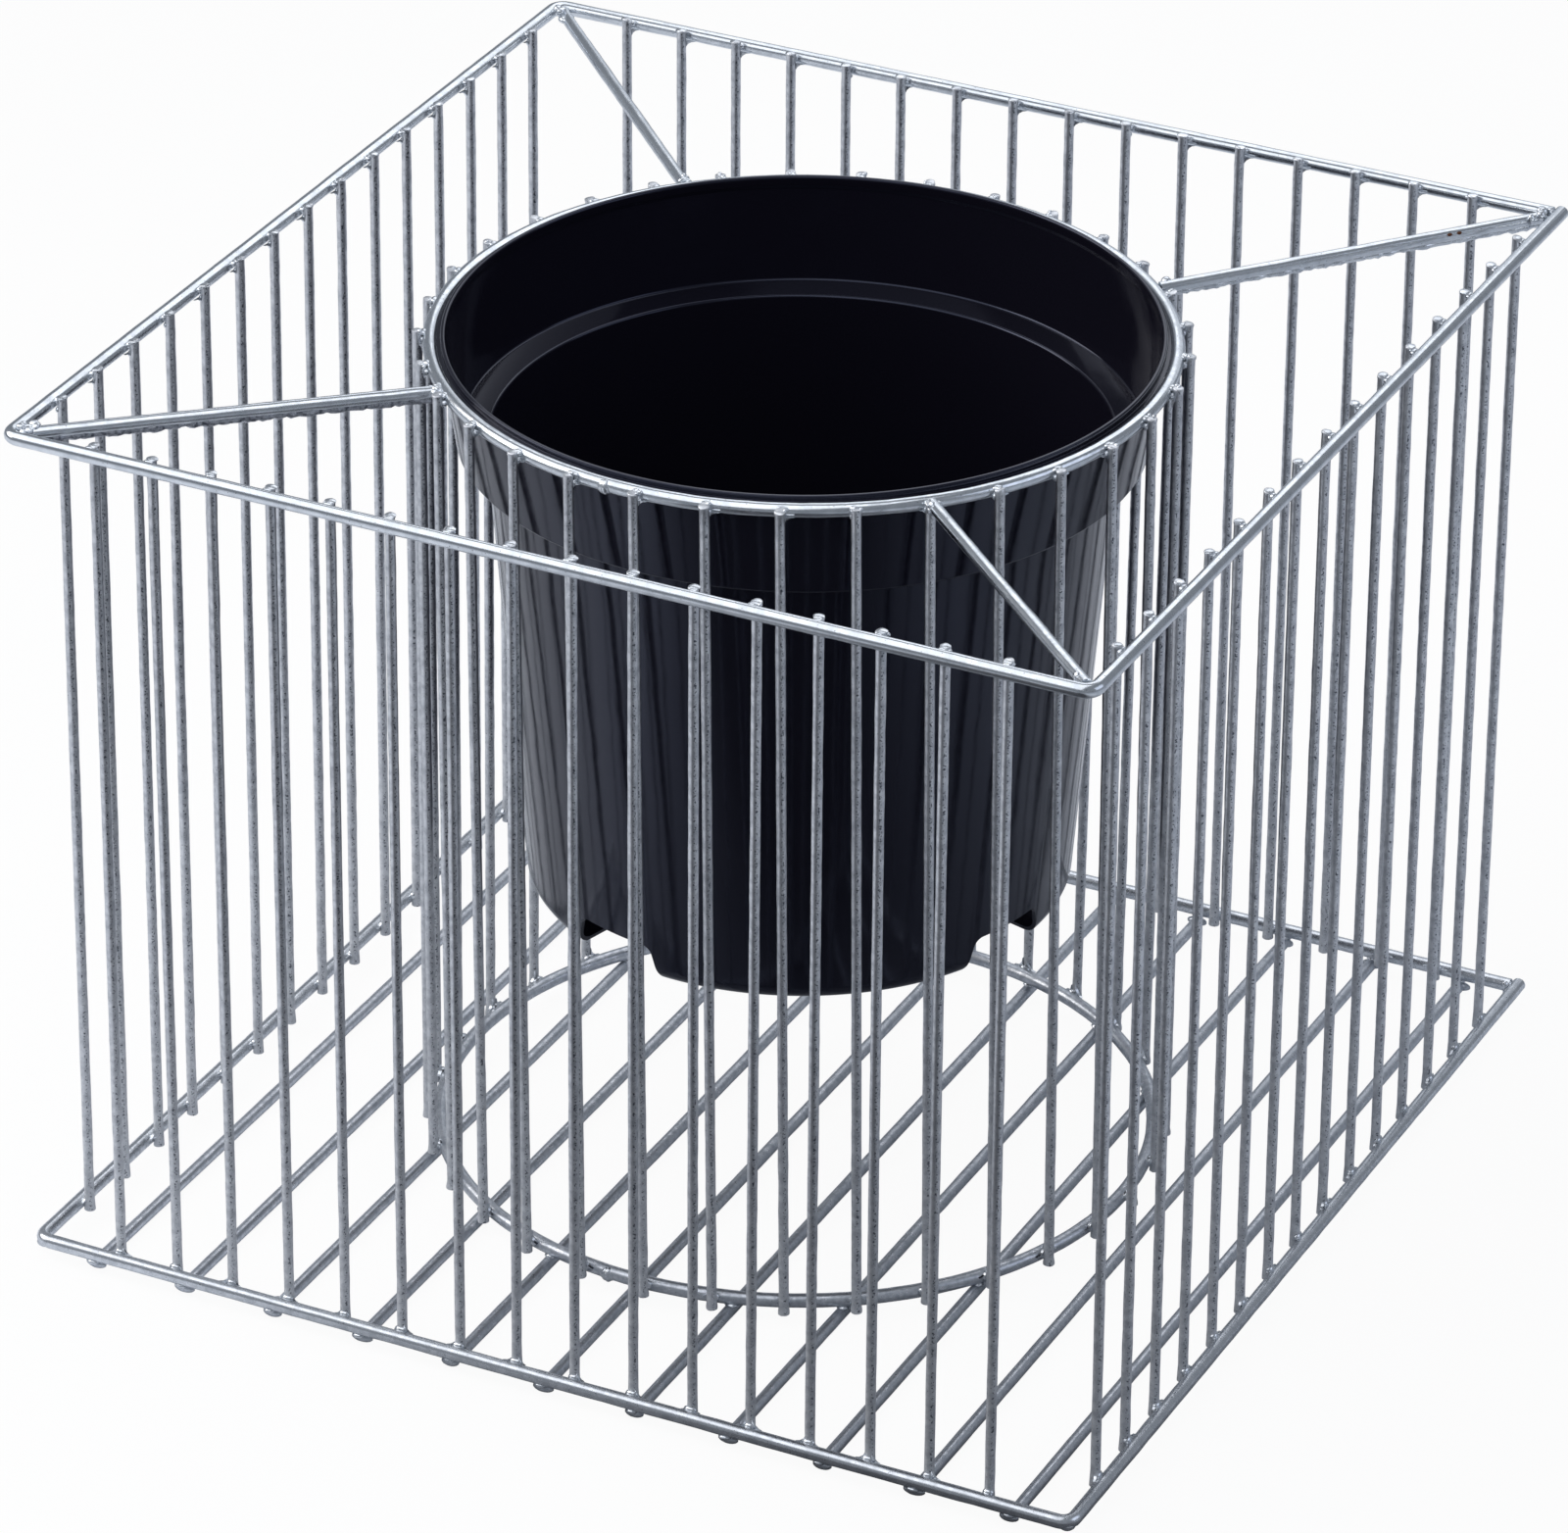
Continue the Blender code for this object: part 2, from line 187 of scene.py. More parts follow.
def spread(count: int, reach: float) -> list[float]:
    """Spread a row of wires evenly from -reach to reach."""
    return [-reach + 2 * reach * number / (count - 1) for number in range(count)]


class Seed(IntEnum):
    """Start of each sub-assembly's chance unevenness."""

    POT = 5
    TOP_FRAME = 11
    BOTTOM_FRAME = 12
    GRILLE = 30
    SPOKE = 70
    INNER_UPRIGHT = 200
    BASE_WIRE = 400


class Bearing(Enum):
    """A side or a corner of the square cage, by an angle in degrees."""

    @property
    def label(self) -> str:
        """Its name, as the nodes have it."""
        return self.name.lower()

    @property
    def turn(self) -> Matrix:
        """Turn about the axis by its angle."""
        return Matrix.Rotation(math.radians(self.value), 4, "Z")


class Side(Bearing):
    """A side, by its turn from the front."""

    FRONT = 0
    RIGHT = 90
    BACK = 180
    LEFT = 270


class Corner(Bearing):
    """A corner, by its angle from +X."""

    FRONT_LEFT = -135
    FRONT_RIGHT = -45
    BACK_RIGHT = 45
    BACK_LEFT = 135


@dataclass(frozen=True)
class ZincFinish:
    """Hot-dip galvanised steel: zinc with dull patches, a fine grain and pits.

    Attributes:
        name: Name of the material.
        light: Colour of the bright zinc.
        dark: Colour of the dull zinc.
        roughness: Least and greatest roughness.
        mottle: Size of the dull patches in millimetres.
        grain: Size of the grain in millimetres.
        patch: Levels of the mottle at which a dull patch begins and is full.
        pit: Distance between pits in millimetres.
        pit_share: How much of its cell a pit fills, from 0 to 1.
        pit_depth: Depth of a pit, as a share of the relief.
        pit_and_painted_shade_colour: Darker colour of the pits, which also paints the shade along
            one fixed side.
        relief: Depth of the patches' unevenness in millimetres.
        grain_relief: Depth of the grain in millimetres.
        painted_flank_shade: Whether painted shade, a line of dark dots, runs along the side of the
            wire that faces one fixed way in the room.
        flank_shade_way: Direction in the room that the side with the painted shade faces.
        flank_shade_dot: Size of a dot of that painted shade in millimetres.
        film: How much of the zinc lies under a dull film of oxide, from 0 to 1.
        foot_film: The same near the floor, where water stood on the wire.
        foot: Heights between which the film at the foot thins out.
    """

    name: str
    light: str = "dfe1e4"
    dark: str = "bec1c6"
    roughness: tuple[float, float] = (0.3, 0.42)
    mottle: float = 3.2
    grain: float = 0.45
    patch: tuple[float, float] = (0.36, 0.66)
    pit: float = 2.2
    pit_share: float = 0.12
    pit_depth: float = 0.8
    pit_and_painted_shade_colour: str = "565a63"
    relief: float = 0.035
    grain_relief: float = 0.006
    painted_flank_shade: bool = False
    flank_shade_way: tuple[float, float, float] = (0.66, -0.75, 0.0)
    flank_shade_dot: float = 0.7
    film: float = 0.0
    foot_film: float = 0.0
    foot: tuple[float, float] = (0.02, 0.14)

    def add_pits(
        self, tree: bpy.types.NodeTree, place: bpy.types.NodeSocket
    ) -> bpy.types.NodeSocket:
        """Scatter pits over the zinc, and where asked also paint shade: a line of dark dots on one
        fixed side of the wire.

        Args:
            tree: Node tree that gets the nodes.
            place: Object coordinates of the surface.

        Returns:
            How much of a pit, and of the painted shade along the one side, there is, from 0 to 1.
        """
        cells = add_node(tree, "ShaderNodeTexVoronoi",
                         {"Vector": place, "Scale": 1 / (self.pit * MM)})
        pits = add_node(tree, "ShaderNodeMapRange",
                        {0: cells, 1: self.pit_share, 2: 0.45 * self.pit_share, 3: 0.0, 4: 0.7})
        if not self.painted_flank_shade:
            return pits
        # Painted shade: a line of dark dots on the side of each wire that faces one fixed way in
        # the room, the same on all four sides of the cage
        facing = add_node(
            tree,
            "ShaderNodeVectorMath",
            {0: place.node.outputs["Normal"], 1: self.flank_shade_way},
            out="Value",
            operation="DOT_PRODUCT",
        )
        row = add_node(tree, "ShaderNodeMapRange", {0: facing, 1: 0.93, 2: 0.97})
        dots = add_node(tree, "ShaderNodeTexNoise",
                        {"Vector": place, "Scale": 1 / (self.flank_shade_dot * MM), "Detail": 1.0})
        marks = add_node(tree, "ShaderNodeMapRange", {0: dots, 1: 0.55, 2: 0.66})
        painted_flank_shade = add_node(tree, "ShaderNodeMath", {0: marks, 1: row}, operation="MULTIPLY")
        return add_node(tree, "ShaderNodeMath", {0: pits, 1: painted_flank_shade}, operation="MAXIMUM")

    def material(self) -> bpy.types.Material:
        """Build the material.

        Returns:
            The galvanised steel material.
        """
        # Hot-dip galvanised mild steel: a grey gleam, broken by dull patches, grain and pits
        made, tree, shader = new_material(self.name)
        place = add_node(tree, "ShaderNodeTexCoord", {}, out="Object")
        patches = add_node(
            tree,
            "ShaderNodeTexNoise",
            {"Vector": place, "Scale": 1 / (self.mottle * MM), "Detail": 3.0, "Roughness": 0.6},
        )
        grain = add_node(tree, "ShaderNodeTexNoise",
                         {"Vector": place, "Scale": 1 / (self.grain * MM), "Detail": 1.0})
        # The pits also carry the painted shade along one fixed side of the uprights
        pits = self.add_pits(tree, place)
        begin, full = self.patch
        bloom = add_node(tree, "ShaderNodeMapRange", {0: patches, 1: begin, 2: full})
        coat = add_node(tree, "ShaderNodeMix", {0: bloom, 6: srgb(self.light), 7: srgb(self.dark)},
                        out=2, data_type="RGBA")
        # Darker colour in the pits and in the painted shade along one side
        pitted_and_painted_shade = add_node(tree, "ShaderNodeMix", {0: pits, 6: coat, 7: srgb(self.pit_and_painted_shade_colour)},
                          out=2, data_type="RGBA")
        height = add_node(tree, "ShaderNodeSeparateXYZ", {0: place}, out="Z")
        low, high = self.foot
        bare = add_node(tree, "ShaderNodeMapRange",
                        {0: height, 1: low, 2: high, 3: 1.0 - self.foot_film, 4: 1.0 - self.film})
        dull = add_node(tree, "ShaderNodeMapRange",
                        {0: patches, 1: begin, 2: full, 3: self.roughness[0], 4: self.roughness[1]})
        fine = add_node(tree, "ShaderNodeBump",
                        {"Height": grain, "Distance": self.grain_relief * MM})
        sunk = add_node(tree, "ShaderNodeMath", {0: pits, 1: -self.pit_depth, 2: patches},
                        operation="MULTIPLY_ADD")
        bump = add_node(tree, "ShaderNodeBump",
                        {"Height": sunk, "Distance": self.relief * MM, "Normal": fine})
        feed(
            tree,
            shader,
            {"Base Color": pitted_and_painted_shade, "Metallic": bare, "Roughness": dull, "Normal": bump},
        )
        return made


@dataclass(frozen=True)
class PlasticFinish:
    """Injection-moulded glossy polypropylene.

    Attributes:
        name: Name of the material.
        colour: Colour of the plastic.
        sheen: Tint of its reflections.
        ior: Index of refraction.
        roughness: Roughness of the moulded face.
        ripple: Size of the sink ripples in millimetres.
        ripple_depth: Their depth in millimetres.
        smudge: Size of the smudges from handling in millimetres.
    """

    name: str
    colour: str = "14131c"
    sheen: str = "ccd5f6"
    ior: float = 1.49
    roughness: float = 0.09
    ripple: float = 22.0
    ripple_depth: float = 0.3
    smudge: float = 4.0

    def material(self) -> bpy.types.Material:
        """Build the material.

        Returns:
            The plastic material.
        """
        # Black polypropylene from a polished mould: a clear gloss with faint sink ripples
        made, tree, shader = new_material(self.name)
        place = add_node(tree, "ShaderNodeTexCoord", {}, out="Object")
        ripples = add_node(tree, "ShaderNodeTexNoise",
                           {"Vector": place, "Scale": 1 / (self.ripple * MM), "Detail": 1.0})
        handling = add_node(tree, "ShaderNodeTexNoise",
                            {"Vector": place, "Scale": 1 / (self.smudge * MM), "Detail": 5.0})
        worn = add_node(
            tree,
            "ShaderNodeMapRange",
            {0: handling, 1: 0.3, 2: 0.7, 3: 0.8 * self.roughness, 4: 1.4 * self.roughness},
        )
        bump = add_node(tree, "ShaderNodeBump",
                        {"Height": ripples, "Strength": 0.5, "Distance": self.ripple_depth * MM})
        shader.inputs["Base Color"].default_value = srgb(self.colour)
        shader.inputs["IOR"].default_value = self.ior
        shader.inputs["Specular Tint"].default_value = srgb(self.sheen)
        feed(tree, shader, {"Roughness": worn, "Normal": bump})
        return made


@dataclass(frozen=True)
class RustFinish:
    """A speck of red rust where the zinc missed the wire.

    Attributes:
        name: Name of the material.
        colour: Colour of the rust.
        fresh: Colour of its youngest grains.
        grain: Size of a grain in millimetres.
        roughness: Roughness of the rust.
    """

    name: str
    colour: str = "3c2114"
    fresh: str = "74401f"
    grain: float = 0.3
    roughness: float = 0.9

    def material(self) -> bpy.types.Material:
        """Build the material.

        Returns:
            The rust material.
        """
        # Iron oxide that bloomed on bare steel: matt, grainy and dark brown
        made, tree, shader = new_material(self.name)
        place = add_node(tree, "ShaderNodeTexCoord", {}, out="Object")
        grains = add_node(tree, "ShaderNodeTexNoise",
                          {"Vector": place, "Scale": 1 / (self.grain * MM)})
        tint = add_node(
            tree,
            "ShaderNodeMix",
            {0: grains, 6: srgb(self.colour), 7: srgb(self.fresh)},
            out=2,
            data_type="RGBA",
        )
        shader.inputs["Roughness"].default_value = self.roughness
        feed(tree, shader, {"Base Color": tint})
        return made


class Coat(Enum):
    """Order of the materials on a wire piece."""

    WIRE = 0
    WELD = 1
    RUST = 2
    RUN = 3


@dataclass(frozen=True)
class Finishes:
    """Materials that the pieces share.

    Attributes:
        frame: Bright zinc of the top frame, the top ring and the spokes.
        bottom: Slightly duller zinc of the bottom frame.
        upright: Satin zinc of the uprights with pits, and with painted shade along one fixed side.
        base: Dull zinc of the base wires and the bottom ring.
        weld: Bright, lumpy zinc of welds and runs.
        run: Dull zinc of the runs under the spokes.
        rust: Rust specks.
        pot: Black plastic.
    """

    frame: bpy.types.Material
    bottom: bpy.types.Material
    upright: bpy.types.Material
    base: bpy.types.Material
    weld: bpy.types.Material
    run: bpy.types.Material
    rust: bpy.types.Material
    pot: bpy.types.Material


@dataclass
class Run:
    """The middle line of one length of wire.

    Attributes:
        points: Points along the wire.
        swell: Radius at each point, as a share of the wire's own.
        closed: Whether the wire is a ring.
    """

    points: list[Vector]
    swell: list[float]
    closed: bool = False


@dataclass
class Piece:
    """A piece under construction: wires, beads and webs that share one mesh.

    Attributes:
        name: Name of the piece.
        rng: Source of its chance unevenness.
        mesh: The mesh that its parts go into.
        swell_length: Length over which a wire swells and thins.
    """

    name: str
    rng: Random
    mesh: bmesh.types.BMesh = field(default_factory=bmesh.new)
    swell_length: float = 0.009

    def line(self, start: Vector, end: Vector, step: float, uneven: float) -> Run:
        """Lay a straight wire with a slightly uneven coat.

        Args:
            start: Middle of one end.
            end: Middle of the other end.
            step: Distance between sections.
            uneven: Greatest change of the radius, as a share of it.

        Returns:
            The run.
        """
        count = max(2, round((end - start).length / step))
        points = [start.lerp(end, number / count) for number in range(count + 1)]
        return Run(points, self.swell(points, uneven))

    def swell(self, points: Sequence[Vector], uneven: float) -> list[float]:
        """Give each point of a wire its share of the radius: 1, give or take uneven at most."""
        away = Vector((self.rng.uniform(0, 50), self.rng.uniform(0, 50), 0))
        return [1 + uneven * noise.noise(point / self.swell_length + away) for point in points]

    def merge(self, part: bmesh.types.BMesh, coat: Coat) -> None:
        """Move a finished part into the piece.

        Args:
            part: The part, which is freed.
            coat: Material of the part.
        """
        for facet in part.faces:
            facet.material_index = coat.value
        loose = to_mesh(self.name, part)
        self.mesh.from_mesh(loose)
        bpy.data.meshes.remove(loose)

    def add_wires(
        self, runs: Iterable[Run], radius: float, sides: int, coat: Coat = Coat.WIRE
    ) -> None:
        """Sweep round wire along the runs.

        Args:
            runs: Middle lines of the wires.
            radius: Radius of the wire.
            sides: Facets round the wire.
            coat: Material of the wires.
        """
        curve = bpy.data.curves.new(self.name, "CURVE")
        curve.dimensions = "3D"
        curve.bevel_depth = radius
        curve.bevel_resolution = (sides - 4) // 2
        curve.use_fill_caps = True
        for run in runs:
            spline = curve.splines.new("POLY")
            spline.use_cyclic_u = run.closed
            spline.points.add(len(run.points) - 1)
            for point, place, swell in zip(spline.points, run.points, run.swell):
                point.co = (*place, 1.0)
                point.radius = swell
        holder = bpy.data.objects.new(self.name, curve)
        swept = bpy.data.meshes.new_from_object(holder)
        part = bmesh.new()
        part.from_mesh(swept)
        bmesh.ops.remove_doubles(part, verts=part.verts, dist=0.001 * MM)
        bpy.data.objects.remove(holder)
        bpy.data.curves.remove(curve)
        bpy.data.meshes.remove(swept)
        self.merge(part, coat)

    def add_bead(
        self,
        centre: Vector,
        radii: Sequence[float],
        angle: float = 0.0,
        coat: Coat = Coat.WELD,
        fineness: int = 10,
    ) -> None:
        """Add a rounded drop of zinc.

        Args:
            centre: Middle of the drop.
            radii: Its radii along the turned axes.
            angle: Turn of the drop about +Z.
            coat: Material of the drop.
            fineness: Facets round the drop.
        """
        turn = Matrix.Rotation(angle, 4, "Z")
        part = bmesh.new()
        bmesh.ops.create_uvsphere(
            part,
            u_segments=fineness,
            v_segments=fineness // 2 + 1,
            radius=1,
            matrix=Matrix.Translation(centre) @ turn @ Matrix.Diagonal((*radii, 1)),
        )
        self.merge(part, coat)

    def add_web(self, corner: Vector, along: Vector, down: Vector, thickness: float) -> None:
        """Add the thin web of zinc that hangs in the corner between two wires.

        Args:
            corner: Point where the wires meet.
            along: From the corner to the web's end on the first wire.
            down: From the corner to the web's end on the second wire.
            thickness: Thickness of the web.
        """
        steps = 4  # Facets along the web's hollow edge
        rim = [
            corner
            + along * (1 - math.sin(step / steps * math.pi / 2))
            + down * (1 - math.cos(step / steps * math.pi / 2))
            for step in range(steps + 1)
        ]
        across = along.cross(down).normalized() * thickness
        part = bmesh.new()
        outline = [part.verts.new(point - across / 2) for point in (corner, *rim)]
        sheet = part.faces.new(outline)
        raised = bmesh.ops.extrude_face_region(part, geom=[sheet])["geom"]
        lifted = [made for made in raised if isinstance(made, bmesh.types.BMVert)]
        bmesh.ops.translate(part, verts=lifted, vec=across)
        self.merge(part, Coat.WELD)

    def roughen(self, depth: float, size: float) -> None:
        """Make the coat lumpy.

        Args:
            depth: Greatest lift or fall of the surface.
            size: Size of a lump.
        """
        self.mesh.normal_update()
        away = Vector((self.rng.uniform(0, 90), self.rng.uniform(0, 90), 0))
        lifts = [depth * noise.noise(corner.co / size + away) for corner in self.mesh.verts]
        for corner, lift in zip(self.mesh.verts, lifts):
            corner.co += corner.normal * lift

    def finish(
        self,
        body: str,
        materials: Sequence[bpy.types.Material],
        nodes: Sequence[str],
    ) -> None:
        """Hand the piece over to the scene.

        Args:
            body: Body that the piece rides on.
            materials: Materials by their order on the piece.
            nodes: Nodes that the piece stands for.
        """
        bmesh.ops.recalc_face_normals(self.mesh, faces=self.mesh.faces)
        for corner in self.mesh.verts:
            corner.co = [min(max(at, low), high) for at, low, high in zip(corner.co, LOW, HIGH)]
        data = to_mesh(self.name, self.mesh)
        data.shade_smooth()
        data.set_sharp_from_angle(angle=SHARP_ANGLE)
        for material in materials:
            data.materials.append(material)
        made = link_object(self.name, data)
        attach(made, body)
        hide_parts(*nodes)
        LOG.info("%s: %d faces", self.name, len(data.polygons))


@dataclass
class SquareFrame:
    """A square of one bent wire, butt-welded at the back right corner.

    Attributes:
        half: Middle of the wire from the middle of the cage.
        bend: Bend radius at the wire's middle.
        radius: Radius of the wire.
        height: Height of the wire's middle.
        short: How far the wire's last end stops short of the outer face.
        lumps: Number of lumps on the butt weld.
    """

    half: float = 0.1975
    bend: float = 0.0045
    radius: float = 0.0025
    height: float = 0.3195
    short: float = 0.0002
    lumps: int = 5

    def path(self) -> list[Vector]:
        """Lay out the wire's middle line, from its butt round to the end it runs into.

        Returns:
            Points along the wire.
        """
        inside = self.half - self.bend
        butt = self.half - self.radius
        outline = [Vector((butt, self.half, self.height))]
        for number, (x, y) in enumerate(((-1, 1), (-1, -1), (1, -1))):
            centre = Vector((x * inside, y * inside, self.height))
            start = math.radians(90 + 90 * number)
            outline += [
                centre + self.bend * Vector((math.cos(start + turn), math.sin(start + turn), 0))
                for turn in (math.radians(15 * step) for step in range(7))
            ]
        outline.append(Vector((self.half, self.half + self.radius - self.short, self.height)))
        points = [outline[0]]
        for before, after in zip(outline, outline[1:]):
            count = max(1, round((after - before).length / SECTION))
            points += [before.lerp(after, number / count) for number in range(1, count + 1)]
        return points

    def add_wire(self, piece: Piece, sides: int = FRAME_SIDES) -> None:
        """Add the bent wire and the lumps of its butt weld.

        Args:
            piece: Piece that gets the wire.
            sides: Facets round the wire.
        """
        points = self.path()
        piece.add_wires([Run(points, piece.swell(points, 0.035))], self.radius, sides)
        inner = self.half - self.radius
        for number in range(self.lumps):
            lift = piece.rng.uniform(-0.6, 1.6) * MM
            drop = Vector((inner + piece.rng.uniform(-1.6, 1.0) * MM,
                           self.half + piece.rng.uniform(-2.2, -0.4) * MM,
                           self.height + lift))
            radii = [piece.rng.uniform(1.0, 1.9) * MM for _ in range(3)]
            radii[1] = min(radii[1], HIGH[1] - drop.y)
            piece.add_bead(drop, radii, number)


@dataclass
class TopFrame:
    """The top frame with its butt weld.

    Attributes:
        frame: Size and place of the square.
    """

    frame: SquareFrame = field(default_factory=SquareFrame)

    def build(self, finishes: Finishes) -> None:
        """Build the top frame.

        Args:
            finishes: Materials of the planter.
        """
        piece = Piece("top_frame_wire", Random(Seed.TOP_FRAME))
        self.frame.add_wire(piece, sides=20)
        piece.roughen(*FRAME_COAT)
        piece.finish("cage", [finishes.frame, finishes.weld], ["top_frame"])


@dataclass
class Grille:
    """One side of the cage: its uprights with their welds.

    Attributes:
        side: Side of the cage.
        count: Number of uprights.
        reach: Place of the last upright from the middle of the side.
        radius: Radius of an upright.
        foot: Middle of an upright from the middle of the cage, at its foot.
        head: The same at its head.
        low: Height of the uprights' feet.
        high: Height of the uprights' heads.
        webs: Directions along the side in which webs hang under the top frame.
        top: Size and place of the top frame.
        bottom: Size and place of the bottom frame.
        short: How much lower the heads of this side are than the highest ones.
        web: Thickness of a web.
        head_share: Share of the heads that have their webs, from 0 to 1.
        foot_share: The same of the feet, on each side of an upright.
    """

    side: Side
    count: int
    reach: float
    webs: tuple[int, ...]
    top: SquareFrame
    bottom: SquareFrame
    radius: float = 0.00175
    foot: float = 0.19375
    head: float = 0.19295
    low: float = 0.0043
    high: float = 0.3228
    short: float = 0.0
    web: float = 0.0009
    head_share: float = 0.85
    foot_share: float = 0.6

    def add_uprights(self, piece: Piece) -> None:
        """Stand the uprights, laid out as if the side were the front.

        Args:
            piece: Piece that gets the uprights.
        """
        runs = []
        for across in spread(self.count, self.reach):
            bow = piece.rng.uniform(-0.25, 0.25) * MM
            start = Vector((across + bow, -self.foot, self.low))
            head = self.high - self.short - piece.rng.uniform(1.4, 1.8) * MM
            end = Vector((across - bow, -self.head, head))
            run = piece.line(start, end, SECTION, 0.04)
            run.swell[0] = piece.rng.uniform(1.1, 1.2)
            self.cut_head(piece, run)
            runs.append(run)
        piece.add_wires(runs, self.radius, UPRIGHT_SIDES)

    def cut_head(self, piece: Piece, run: Run) -> None:
        """Finish an upright with a sheared, slightly spread head that leans outwards.

        Args:
            piece: Piece that gets the upright.
            run: Middle line of the upright, up to just under its head.
        """
        rng = piece.rng
        lean = Vector((rng.uniform(-0.12, 0.12), -rng.uniform(0.1, 0.3), 1.0)) * MM
        neck = run.points[-1]
        run.points += [neck + 0.45 * lean, neck + 1.1 * lean, neck + 1.25 * lean]
        spread = rng.uniform(1.03, 1.12)
        run.swell[-1] = 0.96
        run.swell += [spread, spread, 0.9 * spread]

    def add_top_welds(self, piece: Piece) -> None:
        """Smear the zinc that joins the uprights' heads to the top frame's wire.

        Args:
            piece: Piece that gets the welds.
        """
        rng = piece.rng
        for across in spread(self.count, self.reach):
            side = rng.uniform(-0.8, 0.8) * MM
            saddle = Vector((across + side, -self.head - 1.9 * MM, self.top.height + 0.9 * MM))
            piece.add_bead(saddle, (rng.uniform(1.6, 2.4) * MM, 1.4 * MM, 1.2 * MM))
            for _ in range(3):
                lump = Vector((across + rng.uniform(-1.2, 1.8) * MM,
                               -self.head - rng.uniform(-0.5, 1.3) * MM,
                               self.high - self.short - rng.uniform(0.9, 1.5) * MM))
                radii = [rng.uniform(0.6, 1.3) * MM, rng.uniform(0.6, 1.1) * MM,
                         rng.uniform(0.5, 0.8) * MM]
                piece.add_bead(lump, radii, fineness=8)
            cap = Vector((across + rng.uniform(-0.1, 0.4) * MM, -self.head,
                          self.high - self.short - 0.5 * MM))
            piece.add_bead(cap, (rng.uniform(1.8, 2.2) * MM, 1.8 * MM, 0.5 * MM), fineness=12)
            fillet = Vector((across, -self.head - 1.2 * MM, self.top.height - 1.8 * MM))
            piece.add_bead(fillet, (rng.uniform(1.9, 2.2) * MM, 1.0 * MM, 1.2 * MM))
            for way in self.webs:
                if rng.random() < self.head_share:
                    self.add_top_web(piece, across, way)

    def add_top_web(self, piece: Piece, across: float, way: int) -> None:
        """Hang a web between an upright and the top frame's wire.

        Args:
            piece: Piece that gets the web.
            across: Place of the upright from the middle of the side.
            way: Direction along the side.
        """
        rng = piece.rng
        corner = Vector((across + way * self.radius * WEB_START, -self.head - 1.1 * MM,
                         self.top.height - 1.2 * MM))
        along = Vector((way * rng.uniform(2.6, 4.2) * MM, -0.6 * MM, 0))
        down = Vector((0, 0.4 * MM, -rng.uniform(3.0, 4.6) * MM))
        piece.add_web(corner, along, down, self.web)

    def add_foot_welds(self, piece: Piece) -> None:
        """Weld the uprights' feet to the bottom frame's wire.

        Args:
            piece: Piece that gets the welds.
        """
        rng = piece.rng
        for across in spread(self.count, self.reach):
            heel = Vector((across, -self.foot - 1.0 * MM, self.bottom.height + 1.6 * MM))
            piece.add_bead(heel, (rng.uniform(2.0, 2.8) * MM, 1.5 * MM, 1.6 * MM))
            for way in (-1, 1):
                if rng.random() < self.foot_share:
                    corner = Vector((across + way * self.radius * WEB_START,
                                     -self.foot - 0.9 * MM, self.bottom.height + 1.2 * MM))
                    along = Vector((way * rng.uniform(2.4, 4.0) * MM, -0.4 * MM, 0))
                    rise = Vector((0, 0.3 * MM, rng.uniform(3.0, 4.6) * MM))
                    piece.add_web(corner, along, rise, self.web)

    def build(self, finishes: Finishes) -> None:
        """Build the side.

        Args:
            finishes: Materials of the planter.
        """
        piece = Piece(f"uprights_{self.side.label}", Random(Seed.GRILLE + self.side.value))
        self.add_uprights(piece)
        self.add_top_welds(piece)
        self.add_foot_welds(piece)
        piece.mesh.transform(self.side.turn)
        piece.roughen(*UPRIGHT_COAT)
        piece.finish("cage", [finishes.upright, finishes.weld],
                     [f"grille_{self.side.label}"])


@dataclass
class BottomFrame:
    """The bottom frame, which the four sides share.

    Attributes:
        frame: Size and place of the square.
        sag: How far the zinc under each corner hangs below the wire's middle.
    """

    frame: SquareFrame = field(default_factory=lambda: SquareFrame(height=0.0068))
    sag: float = 0.0014

    def build(self, finishes: Finishes) -> None:
        """Build the bottom frame.

        Args:
            finishes: Materials of the planter.
        """
        piece = Piece("bottom_frame_wire", Random(Seed.BOTTOM_FRAME))
        self.frame.add_wire(piece)
        reach = self.frame.half - 1.6 * MM
        for x, y in ((-1, -1), (1, -1), (1, 1), (-1, 1)):
            low = Vector((x * reach, y * reach, self.frame.height - self.sag))
            piece.add_bead(low, (3.0 * MM, 3.0 * MM, piece.rng.uniform(1.8, 2.3) * MM),
                           coat=Coat.WIRE, fineness=14)
        piece.roughen(*BOTTOM_COAT)
        nodes = [f"grille_{side.label}" for side in Side]
        piece.finish("cage", [finishes.bottom, finishes.weld], nodes)


